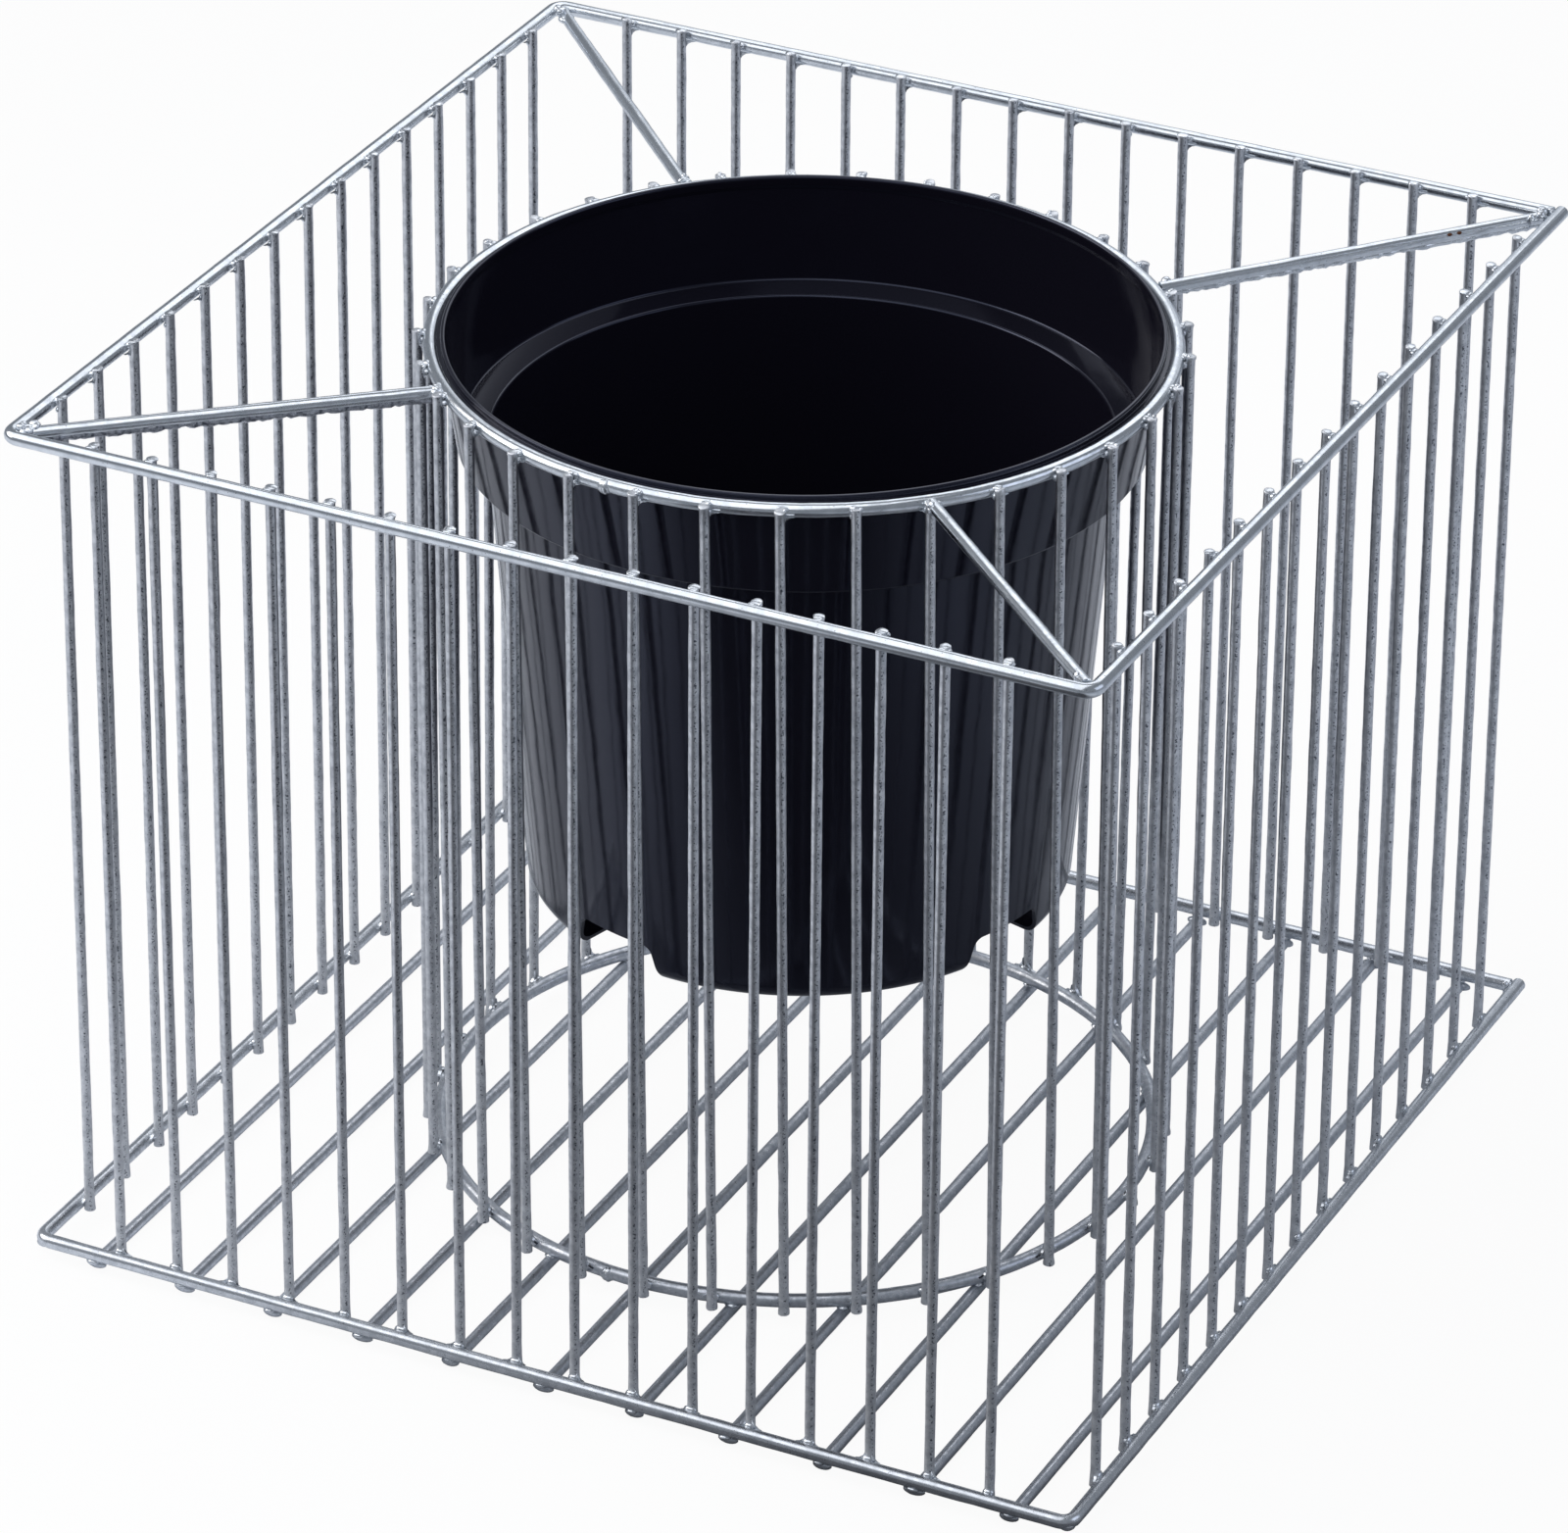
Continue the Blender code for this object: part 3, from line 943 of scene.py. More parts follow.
@dataclass
class WireCylinder:
    """The cylinder that holds the pot: two rings with the inner uprights round them.

    Attributes:
        ring: Middle of a ring's wire from the axis.
        wire: Radius of a ring's wire.
        top: Height of the top ring's middle.
        bottom: Height of the bottom ring's middle.
        count: Number of inner uprights.
        start: Angle of the first upright, at its top.
        twist: Turn of the uprights' feet.
        stand: Middle of an upright from the axis.
        radius: Radius of an upright.
        low: Height of the uprights' feet.
        high: Height of the uprights' heads.
        bay: Number of the gap between uprights that holds a ring's butt weld.
        sections: Sections round a ring.
        web: Thickness of a web.
        head_webs: Share of the heads with a web, on the left and on the right, from outside.
        foot_share: Share of the feet with a web, on each side.
    """

    ring: float = 0.1275
    wire: float = 0.0025
    top: float = 0.313
    bottom: float = 0.0068
    count: int = 33
    start: float = math.radians(-45.5)
    twist: float = math.radians(1.5)
    stand: float = 0.13185
    radius: float = 0.00175
    low: float = 0.0043
    high: float = 0.3147
    bay: int = 28
    sections: int = 224
    web: float = 0.001
    head_webs: tuple[tuple[int, float], ...] = ((1, 0.9), (-1, 0.2))
    foot_share: float = 0.6

    def angle(self, number: float) -> float:
        """Angle of an upright's head; halves lie between two uprights."""
        return self.start + number * math.tau / self.count

    def at(self, angle: float, distance: float, height: float) -> Vector:
        """Point at an angle from +X, a distance from the axis and a height."""
        return Vector((distance * math.cos(angle), distance * math.sin(angle), height))

    def build_ring(
        self, name: str, height: float, coats: Sequence[bpy.types.Material]
    ) -> None:
        """Build one ring with its butt weld.

        Args:
            name: Name of the node that the ring stands for.
            height: Height of the ring's middle.
            coats: Materials of the ring's wire and of its weld.
        """
        piece = Piece(f"{name}_wire", Random(int(height * 1e4)))
        points = [
            self.at(math.tau * step / self.sections, self.ring, height)
            for step in range(self.sections)
        ]
        ring = Run(points, piece.swell(points, 0.03), closed=True)
        piece.add_wires([ring], self.wire, FRAME_SIDES)
        weld = self.angle(self.bay + 0.5)
        for step, size in ((-1.6, 1.5), (-0.5, 2.1), (0.6, 2.3), (1.7, 1.6)):
            centre = self.at(weld + step * MM / self.ring, self.ring + 1.1 * MM, height - 0.3 * MM)
            piece.add_bead(centre, (size * MM, 1.7 * MM, (size + 0.5) * MM), weld)
        piece.roughen(*FRAME_COAT)
        piece.finish("cage", coats, [name])

    def add_upright(self, piece: Piece, number: int) -> None:
        """Stand one inner upright, with a square, slightly flared foot.

        Args:
            piece: Piece that gets the upright.
            number: Number of the upright, from 0.
        """
        head = self.at(self.angle(number), self.stand, self.high)
        foot = self.at(self.angle(number) + self.twist, self.stand, self.low)
        neck = foot.lerp(head, 0.996)
        run = piece.line(foot, neck, SECTION, 0.04)
        run.points[1:1] = [foot.lerp(head, 0.003), foot.lerp(head, 0.009)]
        run.swell[0] = 1.18
        run.swell[1:1] = [1.16, 1.02]
        outwards = Vector((head.x, head.y, 0)).normalized()
        lean = Vector((0, 0, 1)) + outwards * piece.rng.uniform(-0.3, 0.35)
        run.points += [neck + lean * rise * MM for rise in (0.5, 1.3, 1.5)]
        spread = piece.rng.uniform(1.02, 1.12)
        run.swell += [spread, spread, 0.84 * spread]
        piece.add_wires([run], self.radius, UPRIGHT_SIDES)

    def add_head_welds(self, piece: Piece, number: int) -> None:
        """Wrap an upright's head over the top ring and web it underneath.

        Args:
            piece: Piece that gets the welds.
            number: Number of the upright, from 0.
        """
        rng = piece.rng
        angle = self.angle(number)
        saddle = self.at(angle + rng.uniform(-0.006, 0.006), self.stand - 2.2 * MM,
                         self.top + 1.3 * MM)
        piece.add_bead(saddle, (1.3 * MM, rng.uniform(1.5, 2.2) * MM, 1.0 * MM), angle)
        for _ in range(2):
            lump = self.at(angle + rng.uniform(-0.01, 0.014),
                           self.stand - rng.uniform(-0.6, 2.2) * MM,
                           self.high + rng.uniform(-0.6, 0.3) * MM)
            radii = [rng.uniform(0.6, 1.2) * MM for _ in range(3)]
            piece.add_bead(lump, radii, angle, fineness=8)
        throat = self.at(angle, self.stand - 1.8 * MM, self.top - 1.4 * MM)
        piece.add_bead(throat, (1.4 * MM, rng.uniform(1.9, 2.4) * MM, 1.5 * MM), angle)
        tangent = Vector((-math.sin(angle), math.cos(angle), 0))
        for way, share in self.head_webs:
            if rng.random() < share:
                corner = self.at(angle, self.stand - 1.3 * MM, self.top - 1.0 * MM)
                corner += tangent * way * self.radius * WEB_START
                along = tangent * way * rng.uniform(2.4, 3.8) * MM
                down = Vector((0, 0, -rng.uniform(2.8, 4.6) * MM))
                piece.add_web(corner, along, down, self.web)

    def add_foot_welds(self, piece: Piece, number: int) -> None:
        """Weld an upright's foot to the bottom ring.

        Args:
            piece: Piece that gets the welds.
            number: Number of the upright, from 0.
        """
        rng = piece.rng
        angle = self.angle(number) + self.twist
        tangent = Vector((-math.sin(angle), math.cos(angle), 0))
        heel = self.at(angle, self.stand - 2.0 * MM, self.bottom + 0.8 * MM)
        piece.add_bead(heel, (1.7 * MM, rng.uniform(2.1, 3.0) * MM, 2.0 * MM), angle)
        for way in (-1, 1):
            if rng.random() < self.foot_share:
                corner = self.at(angle, self.stand - 1.5 * MM, self.bottom + 1.2 * MM)
                corner += tangent * way * self.radius * WEB_START
                along = tangent * way * rng.uniform(2.4, 4.0) * MM
                rise = Vector((0, 0, rng.uniform(3.0, 4.6) * MM))
                piece.add_web(corner, along, rise, self.web)

    def build(self, finishes: Finishes) -> None:
        """Build both rings and the inner uprights.

        Args:
            finishes: Materials of the planter.
        """
        self.build_ring("top_ring", self.top, [finishes.frame, finishes.weld])
        self.build_ring("bottom_ring", self.bottom, [finishes.base, finishes.weld])
        for number in range(self.count):
            label = f"inner_upright_{number + 1:02d}"
            piece = Piece(f"{label}_wire", Random(Seed.INNER_UPRIGHT + number))
            self.add_upright(piece, number)
            self.add_head_welds(piece, number)
            self.add_foot_welds(piece, number)
            piece.roughen(*UPRIGHT_COAT)
            piece.finish("cage", [finishes.upright, finishes.weld], [label])


@dataclass
class Spoke:
    """A spoke from a corner of the top frame to the top ring.

    Attributes:
        corner: Corner of the cage.
        start: Inner end of the spoke, from the axis.
        end: Outer end of the spoke, from the axis.
        low: Height of the inner end.
        high: Height of the outer end.
        radius: Radius of the wire.
        run: Share of the wire's radius that the zinc run under it has, or 0.
        run_coat: Material of that run.
        sag: Middle of that run below the wire's middle, as a share of the wire's radius.
        specks: Places of rust specks along the spoke, from 0 to 1.
        speck_way: Place of a speck on the wire's face, from the wire's middle.
        lumps: Number of lumps of zinc at each end.
    """

    corner: Corner
    start: float = 0.1300
    end: float = 0.2738
    low: float = 0.31325
    high: float = 0.3195
    radius: float = 0.00225
    run: float = 0.0
    run_coat: Coat = Coat.RUN
    sag: float = 1.15
    specks: tuple[float, ...] = ()
    speck_way: tuple[float, float, float] = (0, -1.12, 0.55)
    lumps: int = 5

    def build(self, finishes: Finishes) -> None:
        """Build the spoke, the runs under it and the welds at its ends.

        Args:
            finishes: Materials of the planter.
        """
        seed = Seed.SPOKE + self.corner.value
        piece = Piece(f"spoke_{self.corner.label}_wire", Random(seed))
        rng = piece.rng
        inner = Vector((self.start, 0, self.low))
        outer = Vector((self.end, 0, self.high))
        piece.add_wires([piece.line(inner, outer, 0.004, 0.04)], self.radius, FRAME_SIDES)
        if self.run:
            self.add_run(piece, inner, outer)
        for number in range(self.lumps):
            near = inner + Vector((rng.uniform(-1, 4), rng.uniform(-2.2, 2.2), 0)) * MM
            near.z += rng.uniform(-1.8, 1.2) * MM
            piece.add_bead(near, [rng.uniform(1.3, 2.3) * MM for _ in range(3)], number)
            far = outer + Vector((rng.uniform(-7, 0.5), rng.uniform(-3.2, 3.2), 0)) * MM
            far.z += rng.uniform(-0.8, 2.3) * MM
            piece.add_bead(far, [rng.uniform(1.2, 2.3) * MM for _ in range(3)], number)
        piece.roughen(*SPOKE_COAT)
        for share in self.specks:
            spot = inner.lerp(outer, share) + Vector(self.speck_way) * self.radius * 0.78
            piece.add_bead(spot, (1.0 * MM, 0.6 * MM, 0.6 * MM), coat=Coat.RUST, fineness=8)
        piece.mesh.transform(self.corner.turn)
        coats = [finishes.frame, finishes.weld, finishes.rust, finishes.run]
        piece.finish("cage", coats, [f"spoke_{self.corner.label}"])

    def add_run(self, piece: Piece, inner: Vector, outer: Vector) -> None:
        """Hang the ridge of zinc that ran along the underside of the spoke.

        Args:
            piece: Piece that gets the run.
            inner: Inner end of the spoke.
            outer: Outer end of the spoke.
        """
        sag = Vector((0, 0, -self.radius * self.sag))
        ridge = piece.line(inner + sag, outer + sag, 0.0014, 0.0)
        ridge.swell = [
            self.run
            * (1 + 0.6 * noise.noise(point / (1.9 * MM)) + 0.3 * noise.noise(point / (11 * MM)))
            for point in ridge.points
        ]
        piece.add_wires([ridge], self.radius, 10, self.run_coat)


@dataclass
class BaseGrid:
    """The base wires under the bottom frame and the bottom ring.

    Attributes:
        count: Number of base wires.
        reach: Place of the last wire from the middle.
        half: Half the length of a wire with its end drops.
        trim: How far the wire itself stops short of that.
        radius: Radius of a wire.
        frame: Middle of the bottom frame's wire from the middle of the cage.
        ring: Middle of the bottom ring's wire from the axis.
    """

    count: int = 11
    reach: float = 0.1755
    half: float = 0.2
    trim: float = 0.0045
    radius: float = 0.0022
    frame: float = 0.1975
    ring: float = 0.1275

    def crossings(self, across: float) -> list[float]:
        """Find where a base wire is welded to the wires above it.

        Args:
            across: Place of the wire from the middle.

        Returns:
            Places along the wire.
        """
        places = [-self.frame, self.frame]
        if abs(across) < self.ring:
            half_chord = math.sqrt(self.ring**2 - across**2)
            places += [-half_chord, half_chord]
        return places

    def build(self, finishes: Finishes) -> None:
        """Build the base wires with their welds and the drops at their ends.

        Args:
            finishes: Materials of the planter.
        """
        for number, across in enumerate(spread(self.count, self.reach)):
            label = f"base_wire_{number + 1:02d}"
            piece = Piece(label.replace("wire", "rod"), Random(Seed.BASE_WIRE + number))
            rng = piece.rng
            reach = self.half - self.trim
            run = piece.line(Vector((across, -reach, self.radius)),
                             Vector((across, reach, self.radius)), SECTION, 0.03)
            piece.add_wires([run], self.radius, UPRIGHT_SIDES)
            for end in (-1, 1):
                drop = Vector((across + rng.uniform(-0.6, 0.6) * MM,
                               end * (self.half - 3.8 * MM), 2.3 * MM))
                piece.add_bead(drop, (rng.uniform(3.3, 4.2) * MM, 1.7 * MM, 1.7 * MM),
                               coat=Coat.WIRE, fineness=16)
            for place in self.crossings(across):
                weld = Vector((across, place, 4.2 * MM))
                piece.add_bead(weld, (rng.uniform(2.1, 2.8) * MM, rng.uniform(2.1, 2.8) * MM,
                                      1.2 * MM))
            piece.roughen(*BASE_COAT)
            lowest = min(corner.co.z for corner in piece.mesh.verts)
            bmesh.ops.translate(piece.mesh, verts=piece.mesh.verts, vec=(0, 0, max(0, -lowest)))
            piece.finish("cage", [finishes.base, finishes.weld], [label])


@dataclass
class Pot:
    """The moulded pot: curled rim, collar, ledge, drafted wall and notched foot.

    Attributes:
        base: Height of the foot's underside.
        tall: Foot to the rim's crest.
        wall: Thickness of the wall.
        rim: Outer radius of the rim.
        rim_width: Width across the curled rim.
        rim_depth: Crest of the rim to its seat.
        bead: Width of the upright bead round the rim's inner edge.
        flange: Thickness of the rim's flange, which lies on the ring.
        warp: How much higher the rim stands at its highest place than opposite it.
        warp_way: Angle of that highest place from +X.
        collar: Outer radius of the collar under the rim.
        collar_low: Outer radius at the collar's lower edge.
        collar_depth: Crest to the collar's lower edge.
        ledge: Outer radius where the step under the collar ends.
        ledge_fall: How far the step runs down as it goes inwards.
        draft: Taper of the wall.
        foot_round: Round where the wall meets the foot.
        foot_width: Width of the hollow foot, from its outside inwards.
        foot_height: Foot's underside to the raised floor's underside.
        notches: Number of notches in the foot.
        notch_start: Angle of the middle of the first notch.
        notch_wide: Width of a notch at the foot's underside.
        notch_top: Width of a notch at its top.
        notch_height: Height of a notch.
        notch_round: Round of a notch's top corners.
        segments: Facets round the pot.
    """

    base: float = 0.107225
    tall: float = 0.2088
    wall: float = 0.0015
    rim: float = 0.1252
    rim_width: float = 0.003
    rim_depth: float = 0.002
    bead: float = 0.0017
    flange: float = 0.0003
    warp: float = 0.0017
    warp_way: float = math.radians(72)
    collar: float = 0.1243
    collar_low: float = 0.1190
    collar_depth: float = 0.0383
    ledge: float = 0.1088
    ledge_fall: float = 0.001
    draft: float = math.radians(4.5)
    foot_round: float = 0.0065
    foot_width: float = 0.0155
    foot_height: float = 0.0145
    notches: int = 4
    notch_start: float = math.radians(74.5)
    notch_wide: float = 0.038
    notch_top: float = 0.031
    notch_height: float = 0.0135
    notch_round: float = 0.003
    segments: int = 224

    def wall_radius(self, height: float) -> float:
        """Outer radius of the wall at a height above the foot's underside."""
        top = self.tall - self.collar_depth - self.ledge_fall
        return self.ledge - (top - height) * math.tan(self.draft)

    def section(self) -> list[tuple[float, float, float]]:
        """Lay out the corners of the pot's section.

        Returns:
            Radius, height above the foot and rounding of each corner, from the middle of
            the floor over the rim to the middle of the underside.
        """
        seat = self.tall - self.rim_depth
        edge = self.tall - self.collar_depth
        floor = self.foot_height + self.wall
        slant = self.wall / math.cos(self.draft)
        lip = self.rim - self.rim_width
        foot_inside = self.wall_radius(0) - self.foot_width
        return [
            (0, floor, 0),
            (foot_inside + self.wall, floor, self.wall),
            (foot_inside + self.wall, self.wall, self.wall),
            (self.wall_radius(self.wall) - slant, self.wall, self.foot_round - self.wall),
            (self.ledge - slant, edge - self.ledge_fall + self.wall, 0.0012),
            (self.collar_low - self.wall, edge + self.wall, 0.0012),
            (self.collar - self.wall, seat - self.wall, 0.0009),
            (lip, seat, 0.0004),
            (lip, self.tall, 0.0007),
            (lip + self.bead, self.tall, 0.0005),
            (lip + self.bead, seat + self.flange, 0.0002),
            (self.rim, seat + self.flange, 0.0001),
            (self.rim, seat, 0.0001),
            (self.collar, seat, 0.0003),
            (self.collar_low, edge, 0.0013),
            (self.ledge, edge - self.ledge_fall, self.wall),
            (self.wall_radius(0), 0, self.foot_round),
            (foot_inside, 0, 0.0006),
            (foot_inside, self.foot_height, 0.0006),
            (0, self.foot_height, 0),
        ]

    def outline(self, steps: int = 7) -> list[Vector]:
        """Round the section's corners.

        Args:
            steps: Facets along a rounding.

        Returns:
            Points of the section.
        """
        corners = [Vector((radius, 0, height)) for radius, height, _ in self.section()]
        roundings = [rounding for _, _, rounding in self.section()]
        points = [corners[0]]
        for before, corner, after, rounding in zip(
            corners, corners[1:], corners[2:], roundings[1:]
        ):
            back = (before - corner).normalized()
            ahead = (after - corner).normalized()
            half = back.angle(ahead) / 2
            middle = corner + (back + ahead).normalized() * rounding / math.sin(half)
            first = corner + back * rounding / math.tan(half) - middle
            turn = first.cross(corner + ahead * rounding / math.tan(half) - middle).normalized()
            for step in range(steps + 1):
                bent = Matrix.Rotation((math.pi - 2 * half) * step / steps, 3, turn) @ first
                points.append(middle + bent)
        points.append(corners[-1])
        return points

    def turned(self) -> bmesh.types.BMesh:
        """Turn the section round the axis.

        Returns:
            The turned mesh.
        """
        shape = bmesh.new()
        points = [shape.verts.new(point) for point in self.outline()]
        for first, second in zip(points, points[1:]):
            shape.edges.new((first, second))
        bmesh.ops.spin(
            shape,
            geom=shape.verts[:] + shape.edges[:],
            cent=(0, 0, 0),
            axis=(0, 0, 1),
            angle=math.tau,
            steps=self.segments,
            use_merge=True,
        )
        bmesh.ops.remove_doubles(shape, verts=shape.verts, dist=0.001 * MM)
        bmesh.ops.recalc_face_normals(shape, faces=shape.faces)
        return shape

    def cutter(self) -> bpy.types.Object:
        """Make the tool for the notches through the hollow foot.

        Returns:
            The tool.
        """
        shape = bmesh.new()
        inner = self.wall_radius(0) - self.foot_width - MM
        outer = self.wall_radius(self.notch_height) + MM
        for number in range(self.notches):
            turn = Matrix.Rotation(self.notch_start + number * math.tau / self.notches, 4, "Z")
            block = bmesh.ops.create_cube(shape, size=1)["verts"]
            for corner in block:
                wide = self.notch_top if corner.co.z > 0 else 2 * self.notch_wide - self.notch_top
                corner.co = ((inner + outer) / 2 + corner.co.x * (outer - inner),
                             corner.co.y * wide, corner.co.z * 2 * self.notch_height)
            bmesh.ops.transform(shape, matrix=turn, verts=block)
            high = [corner for corner in block if corner.co.z > 0]
            sides = [
                edge
                for edge in {edge for corner in high for edge in corner.link_edges}
                if all(end.co.z > 0 for end in edge.verts)
                and abs((turn.inverted() @ (edge.verts[0].co - edge.verts[1].co)).x) > MM
            ]
            bmesh.ops.bevel(
                shape,
                geom=sides,
                offset=self.notch_round,
                segments=6,
                profile=0.5,
                affect="EDGES",
                clamp_overlap=True,
                material=-1,
            )
        return link_object("foot_cutter", to_mesh("foot_cutter", shape))

    def warp_rim(self, piece: Piece) -> None:
        """Let the bead of the rim stand higher on one side, as the moulding shrank.

        Args:
            piece: Piece with the moulding, its foot at height 0.
        """
        low = self.tall - self.rim_depth + self.flange
        for corner in piece.mesh.verts:
            share = (corner.co.z - low) / (self.tall - low)
            if share > 0:
                angle = math.atan2(corner.co.y, corner.co.x) - self.warp_way
                corner.co.z += share * self.warp * (1 + math.cos(angle)) / 2

    def build(self, finishes: Finishes) -> None:
        """Build the pot.

        Args:
            finishes: Materials of the planter.
        """
        holder = link_object("pot_blank", to_mesh("pot_moulding", self.turned()))
        tool = self.cutter()
        cut = holder.modifiers.new("foot", "BOOLEAN")
        cut.operation = "DIFFERENCE"
        cut.object = tool
        bpy.context.view_layer.update()
        solved = holder.evaluated_get(bpy.context.evaluated_depsgraph_get())
        piece = Piece("pot_moulding", Random(Seed.POT))
        moulded = bpy.data.meshes.new_from_object(solved)
        piece.mesh.from_mesh(moulded)
        for done in (holder, tool):
            bpy.data.objects.remove(done)
        bpy.data.meshes.remove(moulded)
        self.warp_rim(piece)
        bmesh.ops.translate(piece.mesh, verts=piece.mesh.verts, vec=(0, 0, self.base))
        piece.finish("pot", [finishes.pot], ["pot"])


@dataclass(frozen=True)
class Softbox:
    """A soft rectangular light.

    Attributes:
        name: Name of the light.
        place: Middle of the light.
        aim: Point that it faces.
        size: Its width and height.
        glow: Brightness of its face.
        tint: Its colour.
    """

    name: str
    place: tuple[float, float, float]
    aim: tuple[float, float, float]
    size: tuple[float, float]
    glow: float
    tint: str

    def hang(self) -> None:
        """Hang the light."""
        data = bpy.data.lights.new(self.name, "AREA")
        data.shape = "RECTANGLE"
        data.size, data.size_y = self.size
        data.energy = self.glow * math.pi * self.size[0] * self.size[1]
        data.color = srgb(self.tint)[:3]
        light = link_object(self.name, data)
        light.visible_camera = False
        place = Vector(self.place)
        facing = (Vector(self.aim) - place).to_track_quat("-Z", "Y").to_matrix().to_4x4()
        light.matrix_world = Matrix.Translation(place) @ facing


@dataclass
class Studio:
    """The white studio: floor, lights and camera.

    Attributes:
        camera_place: Place of the camera.
        azimuth: Turn of the view from +Y.
        elevation: How far the view looks down.
        roll: Turn of the picture about the line of sight.
        lens: Focal length in millimetres on a 36 mm wide sensor.
        sky: Brightness of the room.
        shade: Middle of the painted shade on the floor, a dark part towards the front that only
            reflections and bounced light see, in its own squeezed measure.
        squeeze: How much shorter the painted shade counts along each axis.
        edge: Distances from the middle of the painted shade over which it fades.
        paper: Colours of the painted shade and of the open floor.
        white: Share of plain white in the floor as the camera sees it.
        half: Half the width of the floor.
        lights: The lights.
    """

    camera_place: tuple[float, float, float] = (1.14935, -2.36868, 1.59683)
    azimuth: float = 0.4539
    elevation: float = 0.5034
    roll: float = 0.0079
    lens: float = 197.06
    sky: float = 0.3
    shade: tuple[float, float, float] = (0.15, -0.31, 0.0)
    squeeze: tuple[float, float, float] = (1.0, 0.4, 1.0)
    edge: tuple[float, float] = (0.22, 0.38)
    paper: tuple[str, str] = ("48494d", "f0f3f8")
    white: float = 0.94
    half: float = 6.0
    lights: tuple[Softbox, ...] = (
        Softbox("overhead_front", (-0.2, -0.45, 0.72), (-0.2, -0.45, 0), (0.88, 0.84), 1.2,
                "f8faff"),
        Softbox("overhead_back", (-0.1, 0.54, 0.72), (-0.1, 0.54, 0), (0.68, 0.68), 1.2,
                "f8faff"),
        Softbox("back", (-0.1, 1.7, 0.75), (0, 0, 0.3), (1.6, 0.6), 0.5, "f0f6ff"),
        Softbox("left", (-1.6, -0.5, 1.2), (0, 0, 0.1), (1.4, 1.0), 3.2, "fffcfa"),
        Softbox("right", (1.7, 0.3, 1.0), (0, 0, 0.1), (1.4, 1.0), 0.9, "e2ebff"),
    )

    def add_camera(self) -> None:
        """Place the camera at the photograph's viewing angle."""
        ahead = Vector((
            -math.sin(self.azimuth) * math.cos(self.elevation),
            math.cos(self.azimuth) * math.cos(self.elevation),
            -math.sin(self.elevation),
        ))
        level = Vector((math.cos(self.azimuth), math.sin(self.azimuth), 0))
        upright = level.cross(ahead)
        right = level * math.cos(self.roll) + upright * math.sin(self.roll)
        up = upright * math.cos(self.roll) - level * math.sin(self.roll)
        data = bpy.data.cameras.new("camera")
        data.lens = self.lens
        data.sensor_width = 36.0
        data.clip_start = 0.1
        data.clip_end = 20.0
        camera = link_object("camera", data)
        facing = Matrix((right, up, -ahead)).transposed().to_4x4()
        camera.matrix_world = Matrix.Translation(self.camera_place) @ facing
        bpy.context.scene.camera = camera

    def add_floor(self) -> None:
        """Lay the white floor, which keeps a faint shadow of the planter and has painted shade
        towards the front for reflections and bounced light.
        """
        # Matt paper with painted shade towards the front, which only reflections and bounced light
        # see; the camera sees it white all over
        paper, tree, shader = new_material("studio_paper_with_painted_shade")
        shader.inputs["Roughness"].default_value = 0.9
        place = add_node(tree, "ShaderNodeTexCoord", {}, out="Object")
        near = add_node(tree, "ShaderNodeVectorMath", {0: place, 1: self.squeeze},
                        operation="MULTIPLY")
        away = add_node(tree, "ShaderNodeVectorMath", {0: near, 1: self.shade},
                        out="Value", operation="DISTANCE")
        start, end = self.edge
        # Painted shade: the floor is dark grey near its middle and fades out to the open floor
        # colour
        out_of_painted_shade = add_node(tree, "ShaderNodeMapRange", {0: away, 1: start, 2: end})
        dark, light = self.paper
        paint = add_node(tree, "ShaderNodeMix", {0: out_of_painted_shade, 6: srgb(dark), 7: srgb(light)},
                         out=2, data_type="RGBA")
        feed(tree, shader, {"Base Color": paint})
        seen = add_node(tree, "ShaderNodeLightPath", {}, out="Is Camera Ray")
        share = add_node(tree, "ShaderNodeMath", {0: seen, 1: self.white}, operation="MULTIPLY")
        glow = add_node(tree, "ShaderNodeEmission", {"Color": srgb("ffffff")})
        white = add_node(tree, "ShaderNodeBsdfDiffuse", {"Color": srgb("ffffff")})
        lit = add_node(tree, "ShaderNodeMixShader", {0: seen, 1: shader.outputs[0], 2: white})
        both = add_node(tree, "ShaderNodeMixShader", {0: share, 1: lit, 2: glow})
        feed(tree, tree.nodes["Material Output"], {"Surface": both})
        shape = bmesh.new()
        bmesh.ops.create_grid(shape, x_segments=1, y_segments=1, size=self.half)
        data = to_mesh("floor", shape)
        data.materials.append(paper)
        link_object("floor", data)

    def add_room(self) -> None:
        """Light the room evenly, white where the camera sees past the floor."""
        world = bpy.data.worlds.new("room")
        world.use_nodes = True
        bpy.context.scene.world = world
        tree = world.node_tree
        lit = tree.nodes["Background"]
        lit.inputs["Color"].default_value = srgb("e0e8f4")
        lit.inputs["Strength"].default_value = self.sky
        white = add_node(tree, "ShaderNodeBackground", {"Color": srgb("ffffff")})
        seen = add_node(tree, "ShaderNodeLightPath", {}, out="Is Camera Ray")
        both = add_node(tree, "ShaderNodeMixShader", {0: seen, 1: lit.outputs[0], 2: white})
        feed(tree, tree.nodes["World Output"], {"Surface": both})

    def build(self) -> None:
        """Set up the whole studio."""
        bpy.context.scene.view_settings.view_transform = "Standard"
        self.add_camera()
        self.add_floor()
        self.add_room()
        for light in self.lights:
            light.hang()


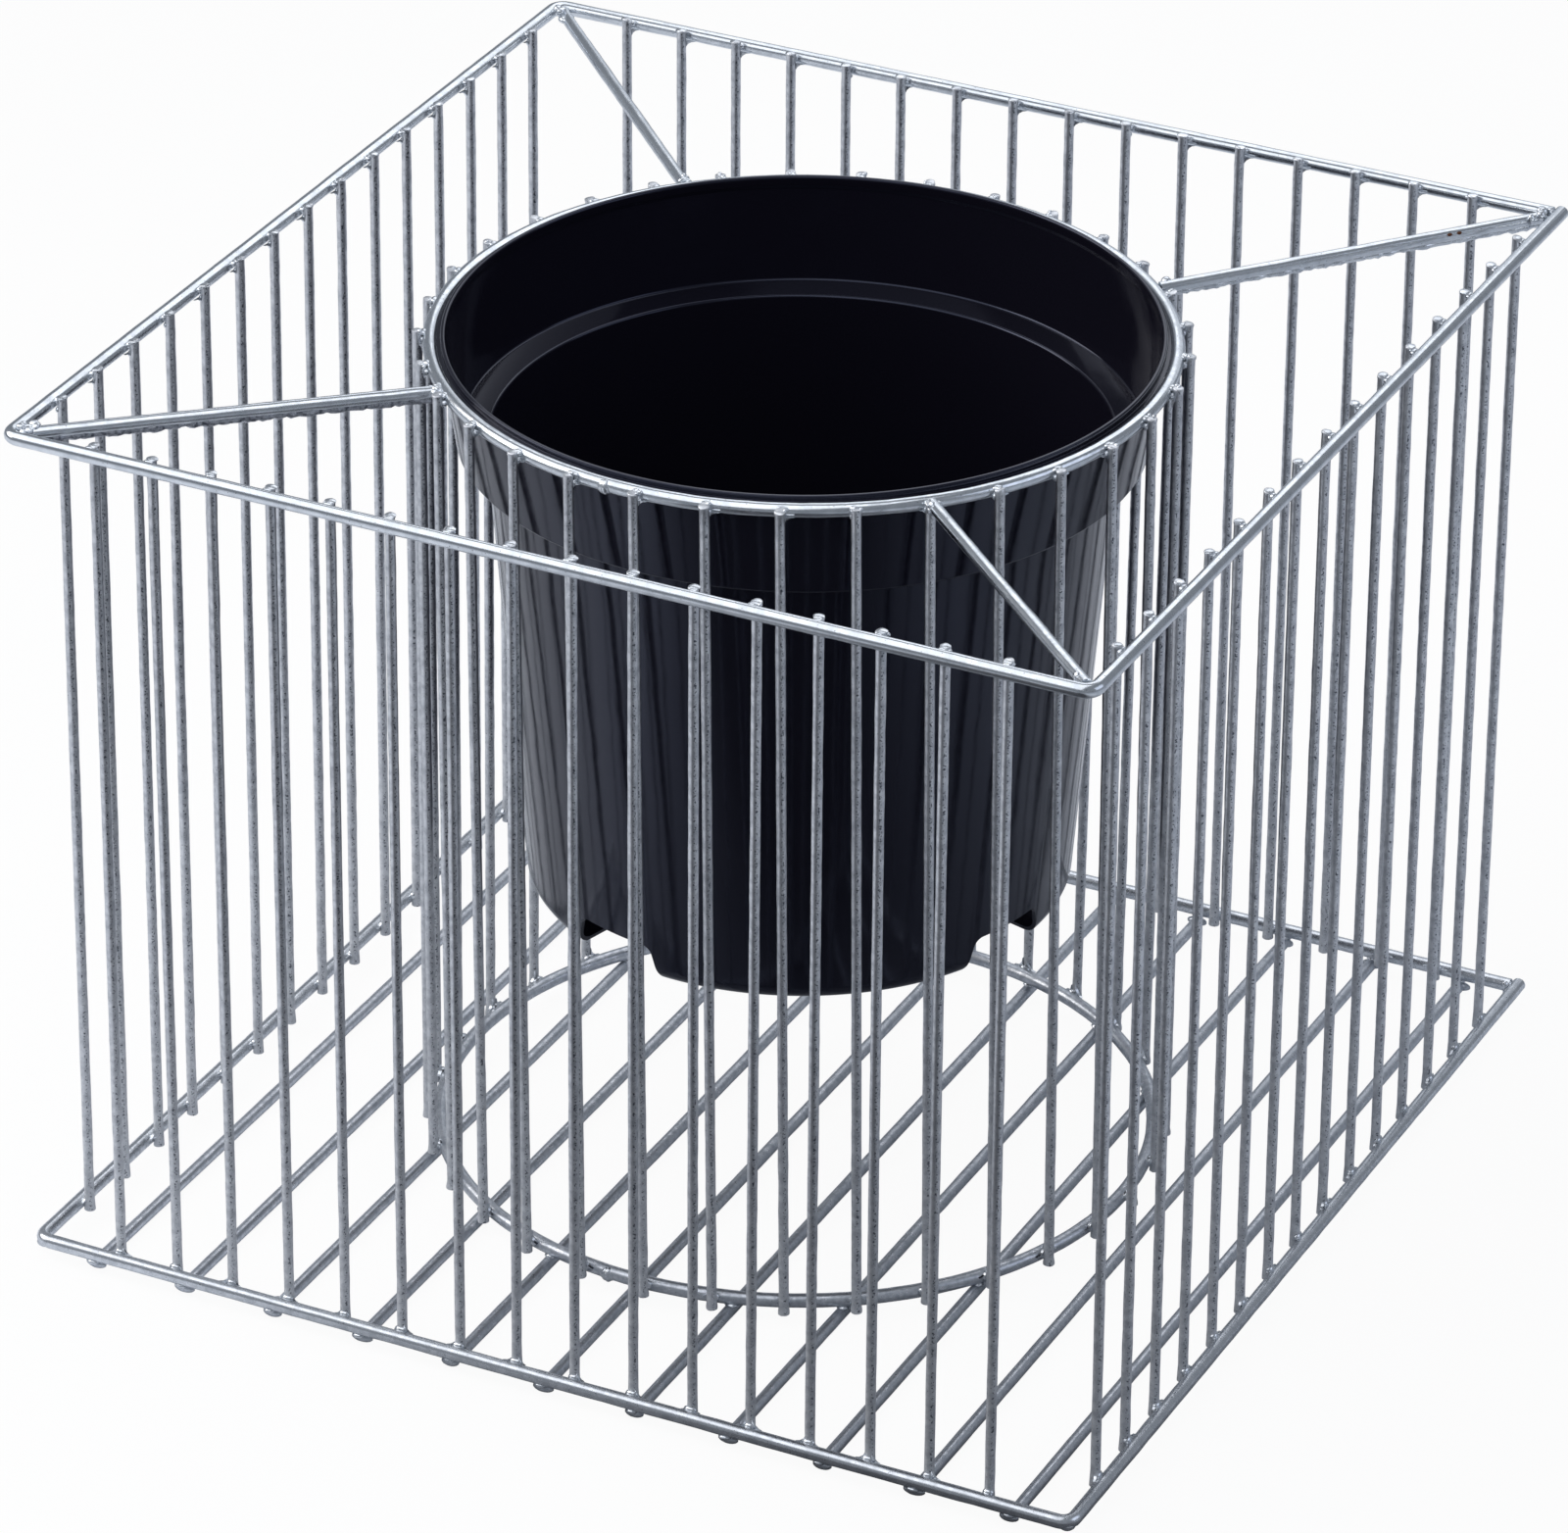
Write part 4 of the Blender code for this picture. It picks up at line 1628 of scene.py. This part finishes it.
def main() -> None:
    """Load the frame and dress it."""
    logging.basicConfig(level=logging.INFO, format="%(name)s: %(message)s")
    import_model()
    finishes = Finishes(
        frame=ZincFinish("zinc_frame", light="e4e8ec", dark="d0d5da", roughness=(0.16, 0.26),
                         mottle=5.0, relief=0.03, grain_relief=0.001).material(),
        bottom=ZincFinish("zinc_bottom", light="e2e5e9", dark="c8ccd1", roughness=(0.21, 0.32),
                          relief=0.04, grain_relief=0.003, foot_film=0.06).material(),
        # Uprights: painted shade along one fixed side of each wire
        upright=ZincFinish("zinc_upright", roughness=(0.34, 0.44), painted_flank_shade=True,
                           film=0.1, foot_film=0.85).material(),
        base=ZincFinish("zinc_base", light="dcdfe4", dark="bcc1c8", roughness=(0.27, 0.4),
                        mottle=2.4, pit_share=0.09, film=0.05, foot_film=0.16).material(),
        weld=ZincFinish("zinc_weld", light="eef1f4", dark="ced3d9", roughness=(0.2, 0.32),
                        relief=0.06).material(),
        run=ZincFinish("zinc_run", light="c6c9d0", dark="5e616a", roughness=(0.26, 0.38),
                       mottle=1.6, relief=0.14, film=0.15).material(),
        rust=RustFinish("rust").material(),
        pot=PlasticFinish("black_polypropylene").material(),
    )
    top = SquareFrame()
    bottom = BottomFrame()
    TopFrame(top).build(finishes)
    bottom.build(finishes)
    for side, count, reach, webs, short in (
        (Side.FRONT, 16, 0.1665, (), 0.0011),
        (Side.RIGHT, 15, 0.1688, (-1,), 0.0006),
        (Side.BACK, 16, 0.1665, (-1,), 0.0),
        (Side.LEFT, 15, 0.1688, (1,), 0.0),
    ):
        Grille(side, count, reach, webs, top, bottom.frame, short=short).build(finishes)
    WireCylinder().build(finishes)
    Spoke(Corner.FRONT_LEFT, run=0.64, lumps=9).build(finishes)
    Spoke(Corner.FRONT_RIGHT).build(finishes)
    Spoke(Corner.BACK_RIGHT, run=0.5, run_coat=Coat.WELD, specks=(0.744, 0.769)).build(finishes)
    Spoke(Corner.BACK_LEFT).build(finishes)
    BaseGrid().build(finishes)
    Pot().build(finishes)
    Studio().build()


if __name__ == "__main__":
    main()
